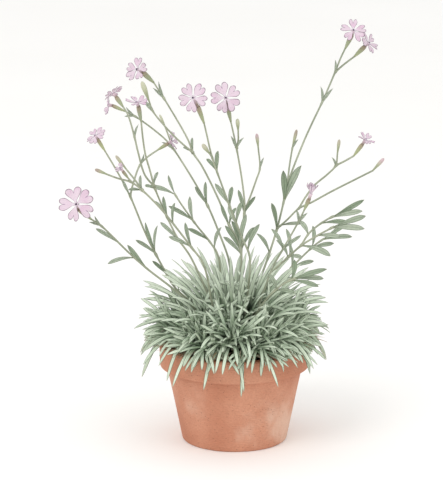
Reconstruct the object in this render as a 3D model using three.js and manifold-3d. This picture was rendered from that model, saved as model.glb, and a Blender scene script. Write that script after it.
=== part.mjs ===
// A cushion-forming campion in a terracotta pot: a mound of narrow leaves with thin, branched flower stems.
// Millimetres, +Z up. The origin is the centre of the pot's underside, and -Y is the front.
import * as THREE from "three";
import { mergeVertices } from "three/addons/utils/BufferGeometryUtils.js";
import Module from "manifold-3d";

const wasm = await Module();
wasm.setup();

// The pot and its soil
const potHeight = 60;
const rimRadius = 46;
const bandHeight = 14;
const bandStep = 1.8;
const footRadius = 32;
const wall = 3.6;
const floorThickness = 5;
const drainCount = 3;
const drainRadius = 3.5;
const drainOffset = 17;
const drainSides = 10;
const firstDrainTurn = 0.4;
const soilDrop = 6;
const soilTop = potHeight - soilDrop;
const gap = 0.3;
const roundSides = 24;

// The leaf mound, measured from the soil
const coreRadius = 27;
const coreHeight = 21;
const neckRadius = 8;
const neckDepth = 14;
const bladeCount = 205;
const bladeWidth = 2.2;
const bladeThickness = 0.8;
const bladeNeck = 0.8;
const moundReach = 60;
const moundHeight = 61;
const moundShoulders = 3;
const lowestLean = THREE.MathUtils.degToRad(96);
const tipDroop = 8;
const stemClearance = 0.7;

// Stems, leaves and flowers
const stalkFoot = 0.7;
const branchFoot = 0.58;
const stalkTip = 0.5;
const leafThickness = 0.7;
const leafNeck = 0.22;
const bladeSteps = 3;
const calyxRadius = 1.7;
const calyxSides = 5;
const cupRadius = 1.2;
const cupDepth = 3.2;
const clawRadius = 0.62;
const petalThickness = 0.6;
const throatShare = 0.16;
const budRadius = 1.25;

// Where a viewer in front of the plant stands. Points on the stems are [across, up, depth]: across and up are
// where this viewer sees the point on an upright sheet through the pot's axis, up from the soil, and depth is
// how far the point itself lies behind that sheet, or in front of it where it is negative.
const eyeDistance = 1400;
const eyeHeight = soilTop + 100 + eyeDistance * Math.tan(THREE.MathUtils.degToRad(12));
const eye = new THREE.Vector3(0, -eyeDistance, eyeHeight);

function seen([across, up, depth]) {
  const onSheet = new THREE.Vector3(across, 0, soilTop + up);
  return eye.clone().lerp(onSheet, 1 + depth / eyeDistance);
}

// Flower stems and leafy shoots. A stalk's line starts at its foot, or on the stalk that it branches from, and
// ends at the base of its calyx or bud. A leaf is given by its root, by its tip with the depth past the root,
// and by its width.
const stems = [
  {
    name: "flower_stem_a",
    stalks: [
      {
        line: [
          [-9, 9, -5], [-24, 27, -12], [-38, 40, -19], [-53, 52, -26], [-64, 62, -30], [-81, 79, -36],
          [-87, 83, -38],
        ],
        calyx: [-94, 89, -43],
        bloom: { face: [-95.5, 92, -47], facing: [-0.2, -1, 0.15], radius: 10.5, spin: 111 },
      },
    ],
    leaves: [
      [[-53, 52], [-65, 67, -4], 3],
      [[-60, 59], [-77, 55, -3], 2.6],
      [[-70, 68], [-84, 77, 5], 2.6],
    ],
  },
  {
    name: "flower_stem_b",
    stalks: [
      {
        line: [
          [-8, 12, 4], [-24, 29, 10], [-36, 40, 14], [-43, 52, 17], [-53, 72, 23], [-63, 97, 29],
          [-70, 111, 33], [-78, 125, 37],
        ],
        calyx: [-82, 131.5, 39],
        bloom: { face: [-83.5, 134, 39], facing: [-0.5, -0.5, 0.75], radius: 6.5, spin: 80 },
      },
      {
        line: [[-63, 97, 29], [-61, 105, 32], [-57, 116, 37], [-53, 120.5, 40], [-46, 125.5, 44]],
        calyx: [-40.5, 129, 47],
        bloom: { face: [-38, 130.5, 48], facing: [0.9, -0.3, 0.3], radius: 7, spin: 60, spread: 68 },
      },
    ],
    leaves: [
      [[-41, 48], [-50, 57, -4], 2.4],
      [[-47, 61], [-60, 70, -3], 2.6],
      [[-48, 62], [-54, 81, 5], 2.6],
      [[-48, 63], [-46.5, 79, -5], 2.4],
      [[-63, 97], [-67.5, 107, -3], 2],
    ],
  },
  {
    name: "flower_stem_c",
    stalks: [
      {
        line: [
          [-7, 14, -3], [-17, 38, -10], [-27, 60, -16], [-35, 72, -20], [-45, 94, -26],
          [-48.5, 103, -28],
        ],
      },
      {
        line: [
          [-48.5, 103, -28], [-54, 110, -29], [-58, 124, -30], [-60, 133, -30], [-64, 147, -29],
          [-67, 152, -28],
        ],
        calyx: [-70.5, 157, -26],
        bloom: { face: [-72.5, 159.5, -25], facing: [-0.55, 0.4, 0.75], radius: 6.5, spin: 70, spread: 80 },
      },
      {
        line: [[-48.5, 103, -28], [-51, 113, -32], [-53.5, 122, -36], [-55, 132, -40], [-56, 143, -44]],
        calyx: [-57.5, 151.5, -46],
        bloom: { face: [-58.5, 154, -46.5], facing: [0, -0.25, 1], radius: 7, spin: 40, spread: 72 },
      },
    ],
    leaves: [
      [[-33, 69], [-45, 81, 6], 2.6],
      [[-41, 84], [-48, 94, 4], 2.2],
      [[-41, 84], [-43, 97, -5], 2.4],
      [[-48.5, 103], [-46, 112, 4], 2],
      [[-48, 101], [-54, 103.5, 5], 2],
    ],
  },
  {
    name: "flower_stem_d",
    stalks: [
      {
        line: [
          [-2, 15, 7], [-2, 35, 14], [-3, 55, 23], [-9.5, 74.5, 35], [-16.5, 91.5, 42], [-31, 117, 54],
          [-39.5, 129.5, 60], [-47, 136.5, 64], [-60, 146, 70], [-66, 149, 72],
        ],
        calyx: [-72.5, 152, 74],
        bloom: { face: [-75, 152.5, 74.5], facing: [-1, -0.15, 0.15], radius: 7, spin: 20, spread: 75 },
      },
      { line: [[-37, 126, 58.5], [-39, 132, 62], [-41.5, 139, 66]], bud: [-45, 147, 69] },
    ],
    leaves: [
      [[-16.5, 91.5], [-24, 103, -5], 2.6],
      [[-16.5, 91.5], [-17.5, 106, 6], 2.4],
    ],
  },
  {
    name: "flower_stem_e",
    stalks: [
      {
        line: [
          [-9, 10, -11], [-14, 32, -22], [-19, 55, -31], [-27, 66.5, -37], [-41, 85, -46],
          [-47, 92, -50], [-55.5, 100.5, -55], [-62, 105.5, -59], [-70.5, 108, -63], [-77, 110.5, -66],
        ],
        bud: [-84, 113.5, -69],
      },
      { line: [[-55.5, 100.5, -55], [-60, 107, -54], [-65.5, 114, -52]], bud: [-71.5, 122, -50] },
      {
        line: [[-62, 105.5, -59], [-64, 108, -61]],
        calyx: [-67, 112, -64],
        bloom: { face: [-68.5, 114, -65.5], facing: [-0.6, -0.5, 0.65], radius: 3.6, spin: 50, spread: 62 },
      },
    ],
    leaves: [
      [[-26, 66], [-40, 72, -5], 2.8],
      [[-25, 65], [-30, 81, -5], 2.4],
      [[-37, 80], [-36, 93, -4], 2.4],
      [[-55.5, 100.5], [-56.5, 110, -4], 2],
      [[-55.5, 100.5], [-64, 101, 3], 2],
    ],
  },
  {
    name: "flower_stem_f",
    stalks: [
      {
        line: [
          [0, 16, 0], [2.5, 40, 5], [4, 61, 10], [1, 71.5, 14], [-4, 80.5, 18], [-9.5, 94.5, 24],
          [-20, 116, 33], [-25, 123.5, 36], [-28, 131.5, 39], [-41, 154.5, 45], [-48.5, 166.5, 48],
        ],
        calyx: [-54.5, 172, 49],
        bloom: { face: [-58, 174, 46.5], facing: [-0.55, -0.7, 0.4], radius: 8, spin: 95, spread: 78 },
      },
      {
        line: [[-25, 123.5, 36], [-34.5, 132, 33], [-42, 140, 30], [-49, 149, 27], [-51, 154.5, 26]],
        bud: [-55.5, 167, 24],
      },
    ],
    leaves: [
      [[4, 61], [-7, 72, 6], 3],
      [[3.5, 64], [-6, 79, 0], 3],
      [[3.5, 64], [7, 86, 4], 3.2],
      [[-3, 79], [-8, 92, 1], 2.8],
      [[-3, 79], [1, 90, 4], 2.6],
      [[-25, 123.5], [-25.5, 133, 4], 2],
      [[-25, 123.5], [-31, 127, 4], 2],
    ],
  },
  {
    name: "flower_stem_i",
    stalks: [
      {
        line: [
          [5, 13, -10], [8, 38, -17], [9, 60, -24], [5, 70, -27], [1, 80, -31], [-8, 104.5, -39],
          [-13.5, 120.5, -44], [-17, 135.5, -48], [-18.5, 142, -50],
        ],
        calyx: [-22, 151.5, -54],
        bloom: { face: [-25, 157, -58.5], facing: [-0.2, -1, 0.25], radius: 8.6, spin: 127 },
      },
      { line: [[-13.5, 120.5, -44], [-15, 123, -46]], bud: [-19.5, 129, -49] },
    ],
    leaves: [
      [[8, 63], [15, 80, -6], 3],
      [[2, 78], [-4, 91, 5], 3],
      [[1, 80], [4.5, 94, -5], 2.8],
      [[-3.5, 92], [-12, 105, -4], 3.2],
      [[-3, 91], [-1.5, 103, 4], 2.8],
      [[-10.5, 112], [-10, 125, -4], 3],
      [[-10.5, 112], [-17, 120, 5], 2.4],
    ],
  },
  {
    name: "flower_stem_j",
    stalks: [
      {
        line: [
          [2, 15, 8], [4, 38, 16], [4, 62, 22], [5, 80, 26], [6, 90, 28], [4.5, 105.5, 32],
          [1, 126.5, 35], [-2.5, 143, 38],
        ],
        calyx: [-4.5, 152.5, 36],
        bloom: { face: [-5.5, 157, 32], facing: [0.05, -1, 0.2], radius: 9.5, spin: 105 },
      },
      { line: [[1, 126.5, 35], [2, 131, 37], [2, 137, 38]], bud: [1.5, 144.5, 39] },
      {
        line: [[6, 88.5, 28], [9, 96, 32], [13, 107.5, 38], [15, 114, 42], [14, 127, 47]],
        bud: [13, 135.5, 50],
      },
    ],
    leaves: [
      [[4, 64], [12, 78, 4], 3],
      [[4, 64], [-2, 82, 7], 3],
      [[5.5, 86], [2, 101, 5], 2.6],
      [[5.5, 86], [12.5, 97, -3], 2.4],
    ],
  },
  {
    name: "flower_stem_l",
    stalks: [
      {
        line: [
          [6, 15, 2], [11, 34, 8], [18, 53, 14], [21.5, 63.5, 17], [25.5, 77, 20], [29.5, 94, 24],
          [31.5, 104, 26], [41, 130, 31], [46, 141.5, 33], [52, 154.5, 36], [59.5, 172.5, 39.5],
          [62.5, 180.5, 40], [65.5, 187, 41],
        ],
        calyx: [69, 194.5, 41.5],
        bloom: { face: [70, 197.5, 40], facing: [0.1, -0.75, 0.65], radius: 8, spin: 85, spread: 84 },
      },
      {
        line: [[59.5, 172.5, 39.5], [64.5, 177, 42], [71, 182, 46]],
        calyx: [76.5, 187.5, 49],
        bloom: { face: [79, 190, 49.5], facing: [0.7, -0.5, 0.55], radius: 7.5, spin: 30, spread: 76 },
      },
      { line: [[31.5, 104, 26], [32, 109, 29], [33, 117.5, 34], [34.5, 127, 39]], bud: [37, 138, 43] },
      {
        line: [
          [25.5, 77, 20], [32, 83, 12], [38.5, 89.5, 4], [46.5, 93.5, -3], [58, 100, -8],
          [69.5, 106, -13], [83, 113, -19],
        ],
        bud: [89.5, 120.5, -22],
      },
      {
        line: [
          [38.5, 89.5, 4], [42.5, 96.5, 5], [48, 104, 7], [55.5, 110.5, 9], [60.5, 116, 10],
          [61.5, 124, 12],
        ],
        bud: [62.5, 132, 13],
      },
      {
        line: [[60.5, 116, 10], [65.5, 118.5, 9], [71.5, 122, 8]],
        calyx: [76, 128.5, 8],
        bloom: { face: [78, 131.5, 8.5], facing: [0.45, 0.25, 0.85], radius: 6, spin: 15, spread: 66 },
      },
    ],
    leaves: [
      [[21, 62], [13, 74, -4], 3],
      [[25, 76], [22, 93, -4], 3],
      [[28, 79], [41, 80.5, -3], 2.4],
      [[29.5, 94], [29, 113, -6], 4],
      [[29.5, 94], [40, 116, -4], 4.8],
    ],
  },
  {
    name: "flower_stem_o",
    stalks: [
      {
        line: [[9, 12, -11], [16, 33, -21], [23, 53, -31], [29.5, 65, -38], [38.5, 81.5, -47], [42, 89, -50]],
        calyx: [44.5, 95, -52],
        bloom: { face: [45.5, 98, -53], facing: [0.22, -0.1, 1], radius: 7.5, spin: 10, spread: 24 },
      },
    ],
    leaves: [
      [[29, 64], [22, 77, -4], 2.6],
      [[29, 64], [40, 73, -5], 2.4],
    ],
  },
  {
    name: "leafy_shoot_h",
    stalks: [
      {
        line: [
          [-5, 15, 1], [-8, 38, 6], [-10, 60, 9], [-15.5, 69.5, 10], [-23, 79, 11], [-32.5, 92.5, 12],
          [-36.5, 99, 12.5],
        ],
      },
    ],
    leaves: [
      [[-12, 64], [-8, 78, -5], 3],
      [[-15.5, 69.5], [-28.5, 77, -5], 3],
      [[-25, 82], [-40, 91, -5], 3.2],
      [[-25, 82], [-27, 97, 4], 3],
      [[-36, 98], [-53, 103, -2], 3.4],
      [[-36, 98], [-40, 110, 3], 2.2],
    ],
  },
  {
    name: "leafy_shoot_p",
    stalks: [
      {
        line: [
          [9, 16, -5], [15, 32, -9], [21.5, 48, -13], [34, 61, -19], [40, 66.5, -21], [48.5, 72, -24],
          [60, 78.5, -27],
        ],
      },
      { line: [[40, 66.5, -21], [45.5, 75, -15], [56, 83, -9], [60, 85, -7]] },
    ],
    leaves: [
      [[33, 60], [41, 59, -6], 3],
      [[32, 59], [25, 70, -5], 3],
      [[33, 60], [31, 77, 4], 3],
      [[40, 66.5], [58, 60, -7], 4.2],
      [[44, 73], [39, 82, 4], 3.4],
      [[50, 73], [64, 72, -5], 3.6],
      [[58, 77.5], [78.5, 77, -5], 4.2],
      [[59, 78], [79, 85, -2], 4],
      [[52, 81], [69, 80.5, 3], 3.6],
      [[58, 84], [77, 88, 1], 3.8],
      [[59, 84.5], [78, 95, 4], 3.6],
    ],
  },
  {
    name: "leafy_shoot_q",
    stalks: [{ line: [[10, 18, 9], [20, 35, 17], [35.5, 54, 27], [48.5, 67, 34], [54, 71, 37]] }],
    leaves: [
      [[34, 53], [48, 57, 5], 3.2],
      [[34, 53], [33, 68, 3], 3],
      [[46, 65], [60, 68, 5], 3.4],
      [[46, 65], [47, 79, 5], 3],
      [[53, 70], [71, 72, 4], 3.6],
      [[53, 70], [67, 80, 6], 3.4],
    ],
  },
  {
    name: "leafy_shoot_r",
    stalks: [{ line: [[10, 11, -15], [13, 23, -26], [20, 34, -35], [30, 43, -42], [37, 46.5, -46]] }],
    leaves: [
      [[25, 39], [36.5, 37, -5], 3.2],
      [[25, 39], [20, 49, -6], 3],
      [[34, 45], [36, 58, -3], 3.4],
      [[34, 45], [51, 41, -5], 3.2],
      [[36, 46], [56, 52, -3], 3.8],
      [[36, 46], [54, 46, 3], 3.4],
    ],
  },
];

// Turns a geometry into a solid, with its shared vertices merged and its flat triangles left out.
function solid(geometry) {
  geometry.deleteAttribute("normal");
  geometry.deleteAttribute("uv");
  const merged = mergeVertices(geometry, 1e-4);
  const corners = [];
  for (let i = 0; i < merged.index.count; i += 3) {
    const [a, b, c] = [0, 1, 2].map((k) => merged.index.getX(i + k));
    if (a !== b && b !== c && c !== a) corners.push(a, b, c);
  }
  return new wasm.Manifold(
    new wasm.Mesh({
      numProp: 3,
      vertProperties: new Float32Array(merged.attributes.position.array),
      triVerts: new Uint32Array(corners),
    }),
  );
}

// The body that is left of a joined solid: its largest piece, without loose scraps and sealed hollows.
function wholeBody(joined) {
  return joined.decompose().reduce((best, piece) => (piece.volume() > best.volume() ? piece : best));
}

function mesh(name, shape, material) {
  const data = shape.getMesh();
  const geometry = new THREE.BufferGeometry();
  geometry.setAttribute("position", new THREE.BufferAttribute(data.vertProperties, 3));
  geometry.setIndex(new THREE.BufferAttribute(data.triVerts, 1));
  geometry.computeVertexNormals();
  const made = new THREE.Mesh(geometry, material);
  made.name = name;
  return made;
}

// A closed solid along a line. section(t) gives, for t from 0 to 1, the centre, the direction along, the
// direction of the breadth, and half the breadth and thickness there. A pointed one closes in a tip.
function swept(sides, steps, pointed, section) {
  const geometry = pointed
    ? new THREE.ConeGeometry(1, 1, sides, steps)
    : new THREE.CylinderGeometry(1, 1, 1, sides, steps);
  const position = geometry.attributes.position;
  for (let i = 0; i < position.count; i++) {
    const { centre, along, broad, breadth, thickness } = section(position.getY(i) + 0.5);
    const flat = Math.hypot(position.getX(i), position.getZ(i)) || 1;
    const third = broad.clone().cross(along);
    const point = centre
      .clone()
      .addScaledVector(broad, (position.getX(i) / flat) * breadth)
      .addScaledVector(third, (position.getZ(i) / flat) * thickness);
    position.setXYZ(i, point.x, point.y, point.z);
  }
  return solid(geometry);
}

// A direction at right angles to the line, as near as it can be to the one wanted.
function squareTo(along, wanted) {
  return wanted.clone().addScaledVector(along, -wanted.dot(along)).normalize();
}

// A tube that passes through every point of its curve's line.
function roundTube(curve, sides, steps, radiusAt, pointed = false) {
  const sideways = new THREE.Vector3(0.31, -0.9, 0.3);
  return swept(sides, steps, pointed, (t) => {
    const along = curve.getTangent(t);
    const radius = radiusAt(t);
    const broad = squareTo(along, sideways);
    return { centre: curve.getPoint(t), along, broad, breadth: radius, thickness: radius };
  });
}

// A leaf blade along a curve. It is broadest at the place given, and its section is a flat diamond with four
// sides or a low keel with three. Its neck is the share of the width that it has at its root.
function blade(curve, sides, width, thickness, face, broadest, neck) {
  const spanOfThree = Math.sqrt(3) / 2;
  const halfWidth = sides === 3 ? width / 2 / spanOfThree : width / 2;
  const halfThickness = sides === 3 ? thickness / 1.5 : thickness / 2;
  return swept(sides, bladeSteps, true, (t) => {
    const along = curve.getTangentAt(t);
    const rising = THREE.MathUtils.smoothstep(t, 0, broadest);
    const falling = 1 - ((t - broadest) / (1 - broadest)) ** 2;
    const fullness = t < broadest ? neck + (1 - neck) * rising : falling;
    const centre = curve.getPointAt(t);
    const broad = squareTo(along, along.clone().cross(face));
    return { centre, along, broad, breadth: halfWidth * fullness, thickness: halfThickness };
  });
}

function arcTo(root, tip, middle) {
  return new THREE.QuadraticBezierCurve3(root, middle, tip);
}

// The radius of the pot's inside at a height.
function innerRadiusAt(z) {
  const low = footRadius - wall;
  const high = rimRadius - bandStep - wall;
  return low + ((high - low) * z) / potHeight;
}

// The pot: a tapering wall with a thick band round the rim, and drain holes round the middle of its floor.
function makePot() {
  const outerRadiusAt = (z) => innerRadiusAt(z) + wall;
  const bandBottom = potHeight - bandHeight;
  const profile = [
    [0, 0],
    [footRadius - 1.2, 0],
    [outerRadiusAt(1.2), 1.2],
    [outerRadiusAt(bandBottom), bandBottom],
    [rimRadius - 0.9, bandBottom + 0.8],
    [rimRadius, potHeight - 1.6],
    [rimRadius - 1.4, potHeight],
    [innerRadiusAt(potHeight) + 1, potHeight],
    [innerRadiusAt(potHeight - 1.6), potHeight - 1.6],
    [innerRadiusAt(floorThickness), floorThickness],
    [0, floorThickness],
  ];
  const turned = new THREE.LatheGeometry(profile.map(([r, z]) => new THREE.Vector2(r, z)), roundSides);
  turned.rotateX(Math.PI / 2);
  let pot = solid(turned);
  for (let i = 0; i < drainCount; i++) {
    const turn = (i * 2 * Math.PI) / drainCount + firstDrainTurn;
    const drain = new THREE.CylinderGeometry(drainRadius, drainRadius, floorThickness * 3, drainSides);
    drain.rotateX(Math.PI / 2);
    drain.translate(drainOffset * Math.cos(turn), drainOffset * Math.sin(turn), 0);
    pot = pot.subtract(solid(drain));
  }
  return pot;
}

// The soil fills the pot to just below the rim, with a plain hole for the plant's root neck.
function makeSoil() {
  const low = floorThickness + gap;
  const profile = [
    [0, low],
    [innerRadiusAt(low) - gap, low],
    [innerRadiusAt(soilTop - 1.5) - gap, soilTop - 1.5],
    [neckRadius * 2.2, soilTop],
    [neckRadius + gap, soilTop],
    [neckRadius + gap, soilTop - neckDepth - gap],
    [0, soilTop - neckDepth - gap],
  ];
  const turned = new THREE.LatheGeometry(profile.map(([r, z]) => new THREE.Vector2(r, z)), roundSides);
  turned.rotateX(Math.PI / 2);
  return solid(turned);
}

// The place on the stalks that lies nearest to where the viewer sees a leaf's root, and the stalk's direction.
function nearestPlace(stalks, across, up) {
  let nearest = { miss: Infinity };
  for (const { curve } of stalks) {
    curve.points.slice(1).forEach((end, i) => {
      const start = curve.points[i];
      for (let t = 0; t < 1; t += 0.04) {
        const root = start.clone().lerp(end, t);
        const miss = root.distanceTo(seen([across, up, root.y]));
        if (miss < nearest.miss) nearest = { miss, root, stalkwise: end.clone().sub(start).normalize() };
      }
    });
  }
  return nearest;
}

// Everything that a stem node holds, as curves: the stalks, and the leaves, which leave them at a slant.
function curvesOf(stem) {
  const stalks = stem.stalks.map((stalk) => ({
    ...stalk,
    curve: new THREE.CatmullRomCurve3(stalk.line.map(seen), false, "centripetal"),
  }));
  const leaves = stem.leaves.map(([[across, up], [tipAcross, tipUp, further], width]) => {
    const { root, stalkwise } = nearestPlace(stalks, across, up);
    const tip = seen([tipAcross, tipUp, root.y + further]);
    const reach = tip.distanceTo(root);
    const outward = tip.clone().sub(root).normalize();
    const leaving = stalkwise.clone().addScaledVector(outward, 1.6).normalize();
    const middle = root.clone().addScaledVector(leaving, reach * 0.5);
    const face = new THREE.Vector3(0, -0.8, 0).addScaledVector(stalkwise, 0.45);
    return { curve: arcTo(root, tip, middle), width, face };
  });
  return { stalks, leaves };
}

// A small bloom has a smaller calyx, cup and claw.
function sizeOf(bloom) {
  return bloom.radius < 5 ? 0.8 : 1;
}

// A calyx widens to its mouth, where a plain cup holds the claws of the petals.
function makeCalyx(foot, mouth, size) {
  const line = new THREE.LineCurve3(foot, mouth);
  const profile = [[0, 0.42], [0.25, 0.66], [0.8, 1], [1, 0.94]];
  const widest = calyxRadius * size;
  const swell = new THREE.SplineCurve(profile.map(([t, share]) => new THREE.Vector2(t, share * widest)));
  return roundTube(line, calyxSides, 2, (t) => swell.getPoint(t).y);
}

function makeCup(foot, mouth, size) {
  const along = mouth.clone().sub(foot).normalize();
  const bottom = mouth.clone().addScaledVector(along, -cupDepth * size);
  const outside = mouth.clone().addScaledVector(along, 1);
  return roundTube(new THREE.LineCurve3(bottom, outside), calyxSides, 1, () => cupRadius * size);
}

// A flower bud: it swells above its base and closes in a tip.
function makeBud(foot, tip) {
  const thin = stalkTip * 0.8;
  const swell = (t) => thin + (budRadius - thin) * Math.sin(Math.PI * Math.min(1, t * 1.15) ** 1.3);
  return roundTube(new THREE.LineCurve3(foot, tip), 4, 3, swell, true);
}

// A stem: its stalks with their calyces and buds, and its leaves, as one body.
function makeStem({ stalks, leaves }) {
  const parts = [];
  const cups = [];
  stalks.forEach(({ line, curve, calyx, bud, bloom }, order) => {
    const foot = order === 0 ? stalkFoot : branchFoot;
    parts.push(roundTube(curve, 4, line.length - 1, (t) => foot + (stalkTip - foot) * t));
    const end = seen(line.at(-1));
    const before = end.clone().addScaledVector(curve.getTangent(1), -0.4);
    if (calyx) {
      parts.push(makeCalyx(before, seen(calyx), sizeOf(bloom)));
      cups.push(makeCup(before, seen(calyx), sizeOf(bloom)));
    }
    if (bud) parts.push(makeBud(before, seen(bud)));
  });
  for (const { curve, width, face } of leaves) {
    parts.push(blade(curve, 4, width, leafThickness, face, 0.5, leafNeck));
  }
  const joined = wasm.Manifold.union(parts);
  return wholeBody(cups.length ? joined.subtract(wasm.Manifold.union(cups)) : joined);
}

// How far a bloom's petals are spread from its axis.
function openingOf({ spread = 88 }) {
  return THREE.MathUtils.degToRad(spread);
}

// The five petals, facing +Z: each widens from the throat into two rounded lobes with a notch between them.
function makePetals(bloom) {
  const { radius, spin } = bloom;
  const half = [[throatShare, 0.08], [0.82, 0.42], [1, 0.2]];
  const petal = [...half.map(([x, y]) => [x, -y]), [0.72, 0], ...half.toReversed()];
  const middle = new THREE.Vector2(0, 0);
  const outline = [0, 1, 2, 3, 4].flatMap((i) => {
    const turn = THREE.MathUtils.degToRad(spin + 72 * i);
    return petal.map(([x, y]) => new THREE.Vector2(x * radius, y * radius).rotateAround(middle, turn));
  });
  const flatPetals = { depth: petalThickness, bevelEnabled: false };
  const petals = new THREE.ExtrudeGeometry(new THREE.Shape(outline), flatPetals);
  const position = petals.attributes.position;
  const opening = openingOf(bloom);
  for (let i = 0; i < position.count; i++) {
    const point = new THREE.Vector3().fromBufferAttribute(position, i);
    const out = Math.hypot(point.x, point.y);
    const share = out / radius;
    const rise = out * Math.cos(opening) - 0.12 * radius * share * share * Math.sin(opening);
    const inward = (point.z - petalThickness / 2) * Math.cos(opening);
    const flat = (out * Math.sin(opening) - inward) / out;
    position.setXYZ(i, point.x * flat, point.y * flat, point.z - petalThickness / 2 + rise);
  }
  return petals;
}

// A bloom: its petals, on a claw that stands in the calyx's cup.
function makeBloom({ line, calyx, bloom }) {
  const size = sizeOf(bloom);
  const mouth = seen(calyx);
  const centre = seen(bloom.face);
  const along = mouth.clone().sub(seen(line.at(-1))).normalize();
  const facing = new THREE.Vector3(...bloom.facing).normalize();
  const foot = mouth.clone().addScaledVector(along, gap - cupDepth * size);
  const throatRise = throatShare * bloom.radius * Math.cos(openingOf(bloom)) + petalThickness;
  const throat = centre.clone().addScaledVector(facing, throatRise);
  const claw = new THREE.CatmullRomCurve3([foot, mouth, throat], false, "centripetal");
  const turned = new THREE.Matrix4().lookAt(facing, new THREE.Vector3(), new THREE.Vector3(0, 0, 1));
  const petals = makePetals(bloom).applyMatrix4(turned.setPosition(centre));
  return wholeBody(roundTube(claw, 4, 2, () => clawRadius * size).add(solid(petals)));
}

// Seeded random numbers from 0 to 1, the same in each run.
function seeded(seed) {
  let state = seed;
  return () => {
    state = (state + 0x6d2b79f5) | 0;
    let mixed = Math.imul(state ^ (state >>> 15), 1 | state);
    mixed = (mixed + Math.imul(mixed ^ (mixed >>> 7), 61 | mixed)) ^ mixed;
    return ((mixed ^ (mixed >>> 14)) >>> 0) / 4294967296;
  };
}

// Balls along a curve, about 1.5 mm apart, which stand for a stalk or a blade where clearance is measured.
function ballsAlong(curve, radius) {
  const count = Math.ceil(curve.getLength() / 1.5);
  return Array.from({ length: count + 1 }, (_, i) => ({ at: curve.getPointAt(i / count), radius }));
}

// Whether a blade's point clears the soil, the rim and the outside of the pot.
function clearOfPot(point) {
  const margin = bladeThickness + 0.5;
  const out = Math.hypot(point.x, point.y);
  if (out < innerRadiusAt(potHeight) - margin) return point.z > soilTop + margin;
  if (out < rimRadius + margin) return point.z > potHeight + margin;
  return true;
}

// One of the mound's blades: rooted in the core and arching out. The lowest ones hang over the pot's rim. Their
// tips lie on an outline that is squarer than a dome, so that the mound has broad shoulders.
function moundBlade(index, random) {
  const goldenTurn = Math.PI * (3 - Math.sqrt(5));
  const share = (index + 0.5) / bladeCount;
  const lean = Math.acos(1 - share * (1 - Math.cos(lowestLean))) + (random() - 0.5) * 0.12;
  const turn = index * goldenTurn + (random() - 0.5) * 0.16;
  const side = Math.sin(Math.min(lean, Math.PI / 2));
  const rise = Math.cos(Math.min(lean, Math.PI / 2));
  const shoulder = (side ** moundShoulders + rise ** moundShoulders) ** (-1 / moundShoulders);
  const reach = (0.84 + 0.2 * random()) * shoulder;
  const outward = new THREE.Vector3(Math.cos(turn), Math.sin(turn), 0);
  const at = (out, up) => outward.clone().multiplyScalar(out).setZ(soilTop + up);
  const low = THREE.MathUtils.smoothstep(lean, 1.2, 1.7);
  const rootLean = 0.76 * lean;
  const root = at(coreRadius * 0.8 * Math.sin(rootLean), coreHeight * 0.8 * Math.cos(rootLean) + 2);
  const lift = 6 * side * (1 - low) - tipDroop * low * random();
  const tip = at(moundReach * reach * side, moundHeight * reach * Math.cos(lean) + lift);
  tip.addScaledVector(new THREE.Vector3(-outward.y, outward.x, 0), (random() - 0.5) * 12);
  const middle = root.clone().lerp(tip, 0.55);
  middle.z += 3 + 9 * side * (0.6 + 0.6 * random());
  middle.addScaledVector(outward, -2 * Math.cos(lean));
  middle.lerp(at(rimRadius - 3, soilDrop + 18 + 10 * random()), low);
  return { curve: arcTo(root, tip, middle), face: outward.clone().multiplyScalar(-0.4).setZ(1).normalize() };
}

// A hole through the core, along the first stretch of a stalk, in which the stalk stands.
function stalkHole(line) {
  const foot = seen(line[0]);
  const next = seen(line[1]);
  const along = next.clone().sub(foot).normalize();
  const bottom = foot.clone().addScaledVector(along, -gap);
  return roundTube(new THREE.LineCurve3(bottom, next), 6, 1, () => stalkFoot + gap + 0.15);
}

// The mound: a low core on a root neck, and the blades, which leave room for the stems that grow through it.
function makeMound(grown) {
  const domeRings = 3;
  const profile = [[0, -neckDepth], [neckRadius, -neckDepth], [neckRadius, gap], [coreRadius * 0.9, gap]];
  for (let i = 0; i <= domeRings; i++) {
    const lean = (Math.PI / 2) * (1 - i / domeRings) * 0.94;
    profile.push([coreRadius * Math.sin(lean), coreHeight * Math.cos(lean)]);
  }
  const turned = new THREE.LatheGeometry(profile.map(([r, z]) => new THREE.Vector2(r, z + soilTop)), 12);
  turned.rotateX(Math.PI / 2);
  const parts = [solid(turned)];
  const taken = grown.flatMap(({ stalks, leaves }) => [
    ...stalks.flatMap(({ curve }) => ballsAlong(curve, stalkFoot)),
    ...leaves.flatMap(({ curve, width }) => ballsAlong(curve, width / 2)),
  ]);
  const near = taken.filter(({ at }) => at.z < soilTop + moundHeight + 10);
  const random = seeded(20);
  const tries = 14;
  for (let index = 0; index < bladeCount; index++) {
    for (let attempt = 0; attempt < tries; attempt++) {
      const { curve, face } = moundBlade(index, random);
      const own = ballsAlong(curve, bladeWidth / 2).slice(4);
      const isClear = own.every(
        (ball) =>
          clearOfPot(ball.at) &&
          near.every((other) => other.at.distanceTo(ball.at) > ball.radius + other.radius + stemClearance),
      );
      if (isClear) {
        parts.push(blade(curve, 3, bladeWidth, bladeThickness, face.negate(), 0.4, bladeNeck));
        break;
      }
    }
  }
  const holes = grown.map(({ stalks: [{ line }] }) => stalkHole(line));
  return wholeBody(wasm.Manifold.union(parts).subtract(wasm.Manifold.union(holes)));
}

const terracotta = new THREE.MeshStandardMaterial({ color: 0xb5654a, roughness: 0.9, metalness: 0 });
const earth = new THREE.MeshStandardMaterial({ color: 0x5a4738, roughness: 1, metalness: 0 });
const sage = new THREE.MeshStandardMaterial({ color: 0x7f9a76, roughness: 0.7, metalness: 0 });
const olive = new THREE.MeshStandardMaterial({ color: 0x93a67c, roughness: 0.7, metalness: 0 });
const pink = new THREE.MeshStandardMaterial({ color: 0xe6c4de, roughness: 0.6, metalness: 0 });

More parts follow.
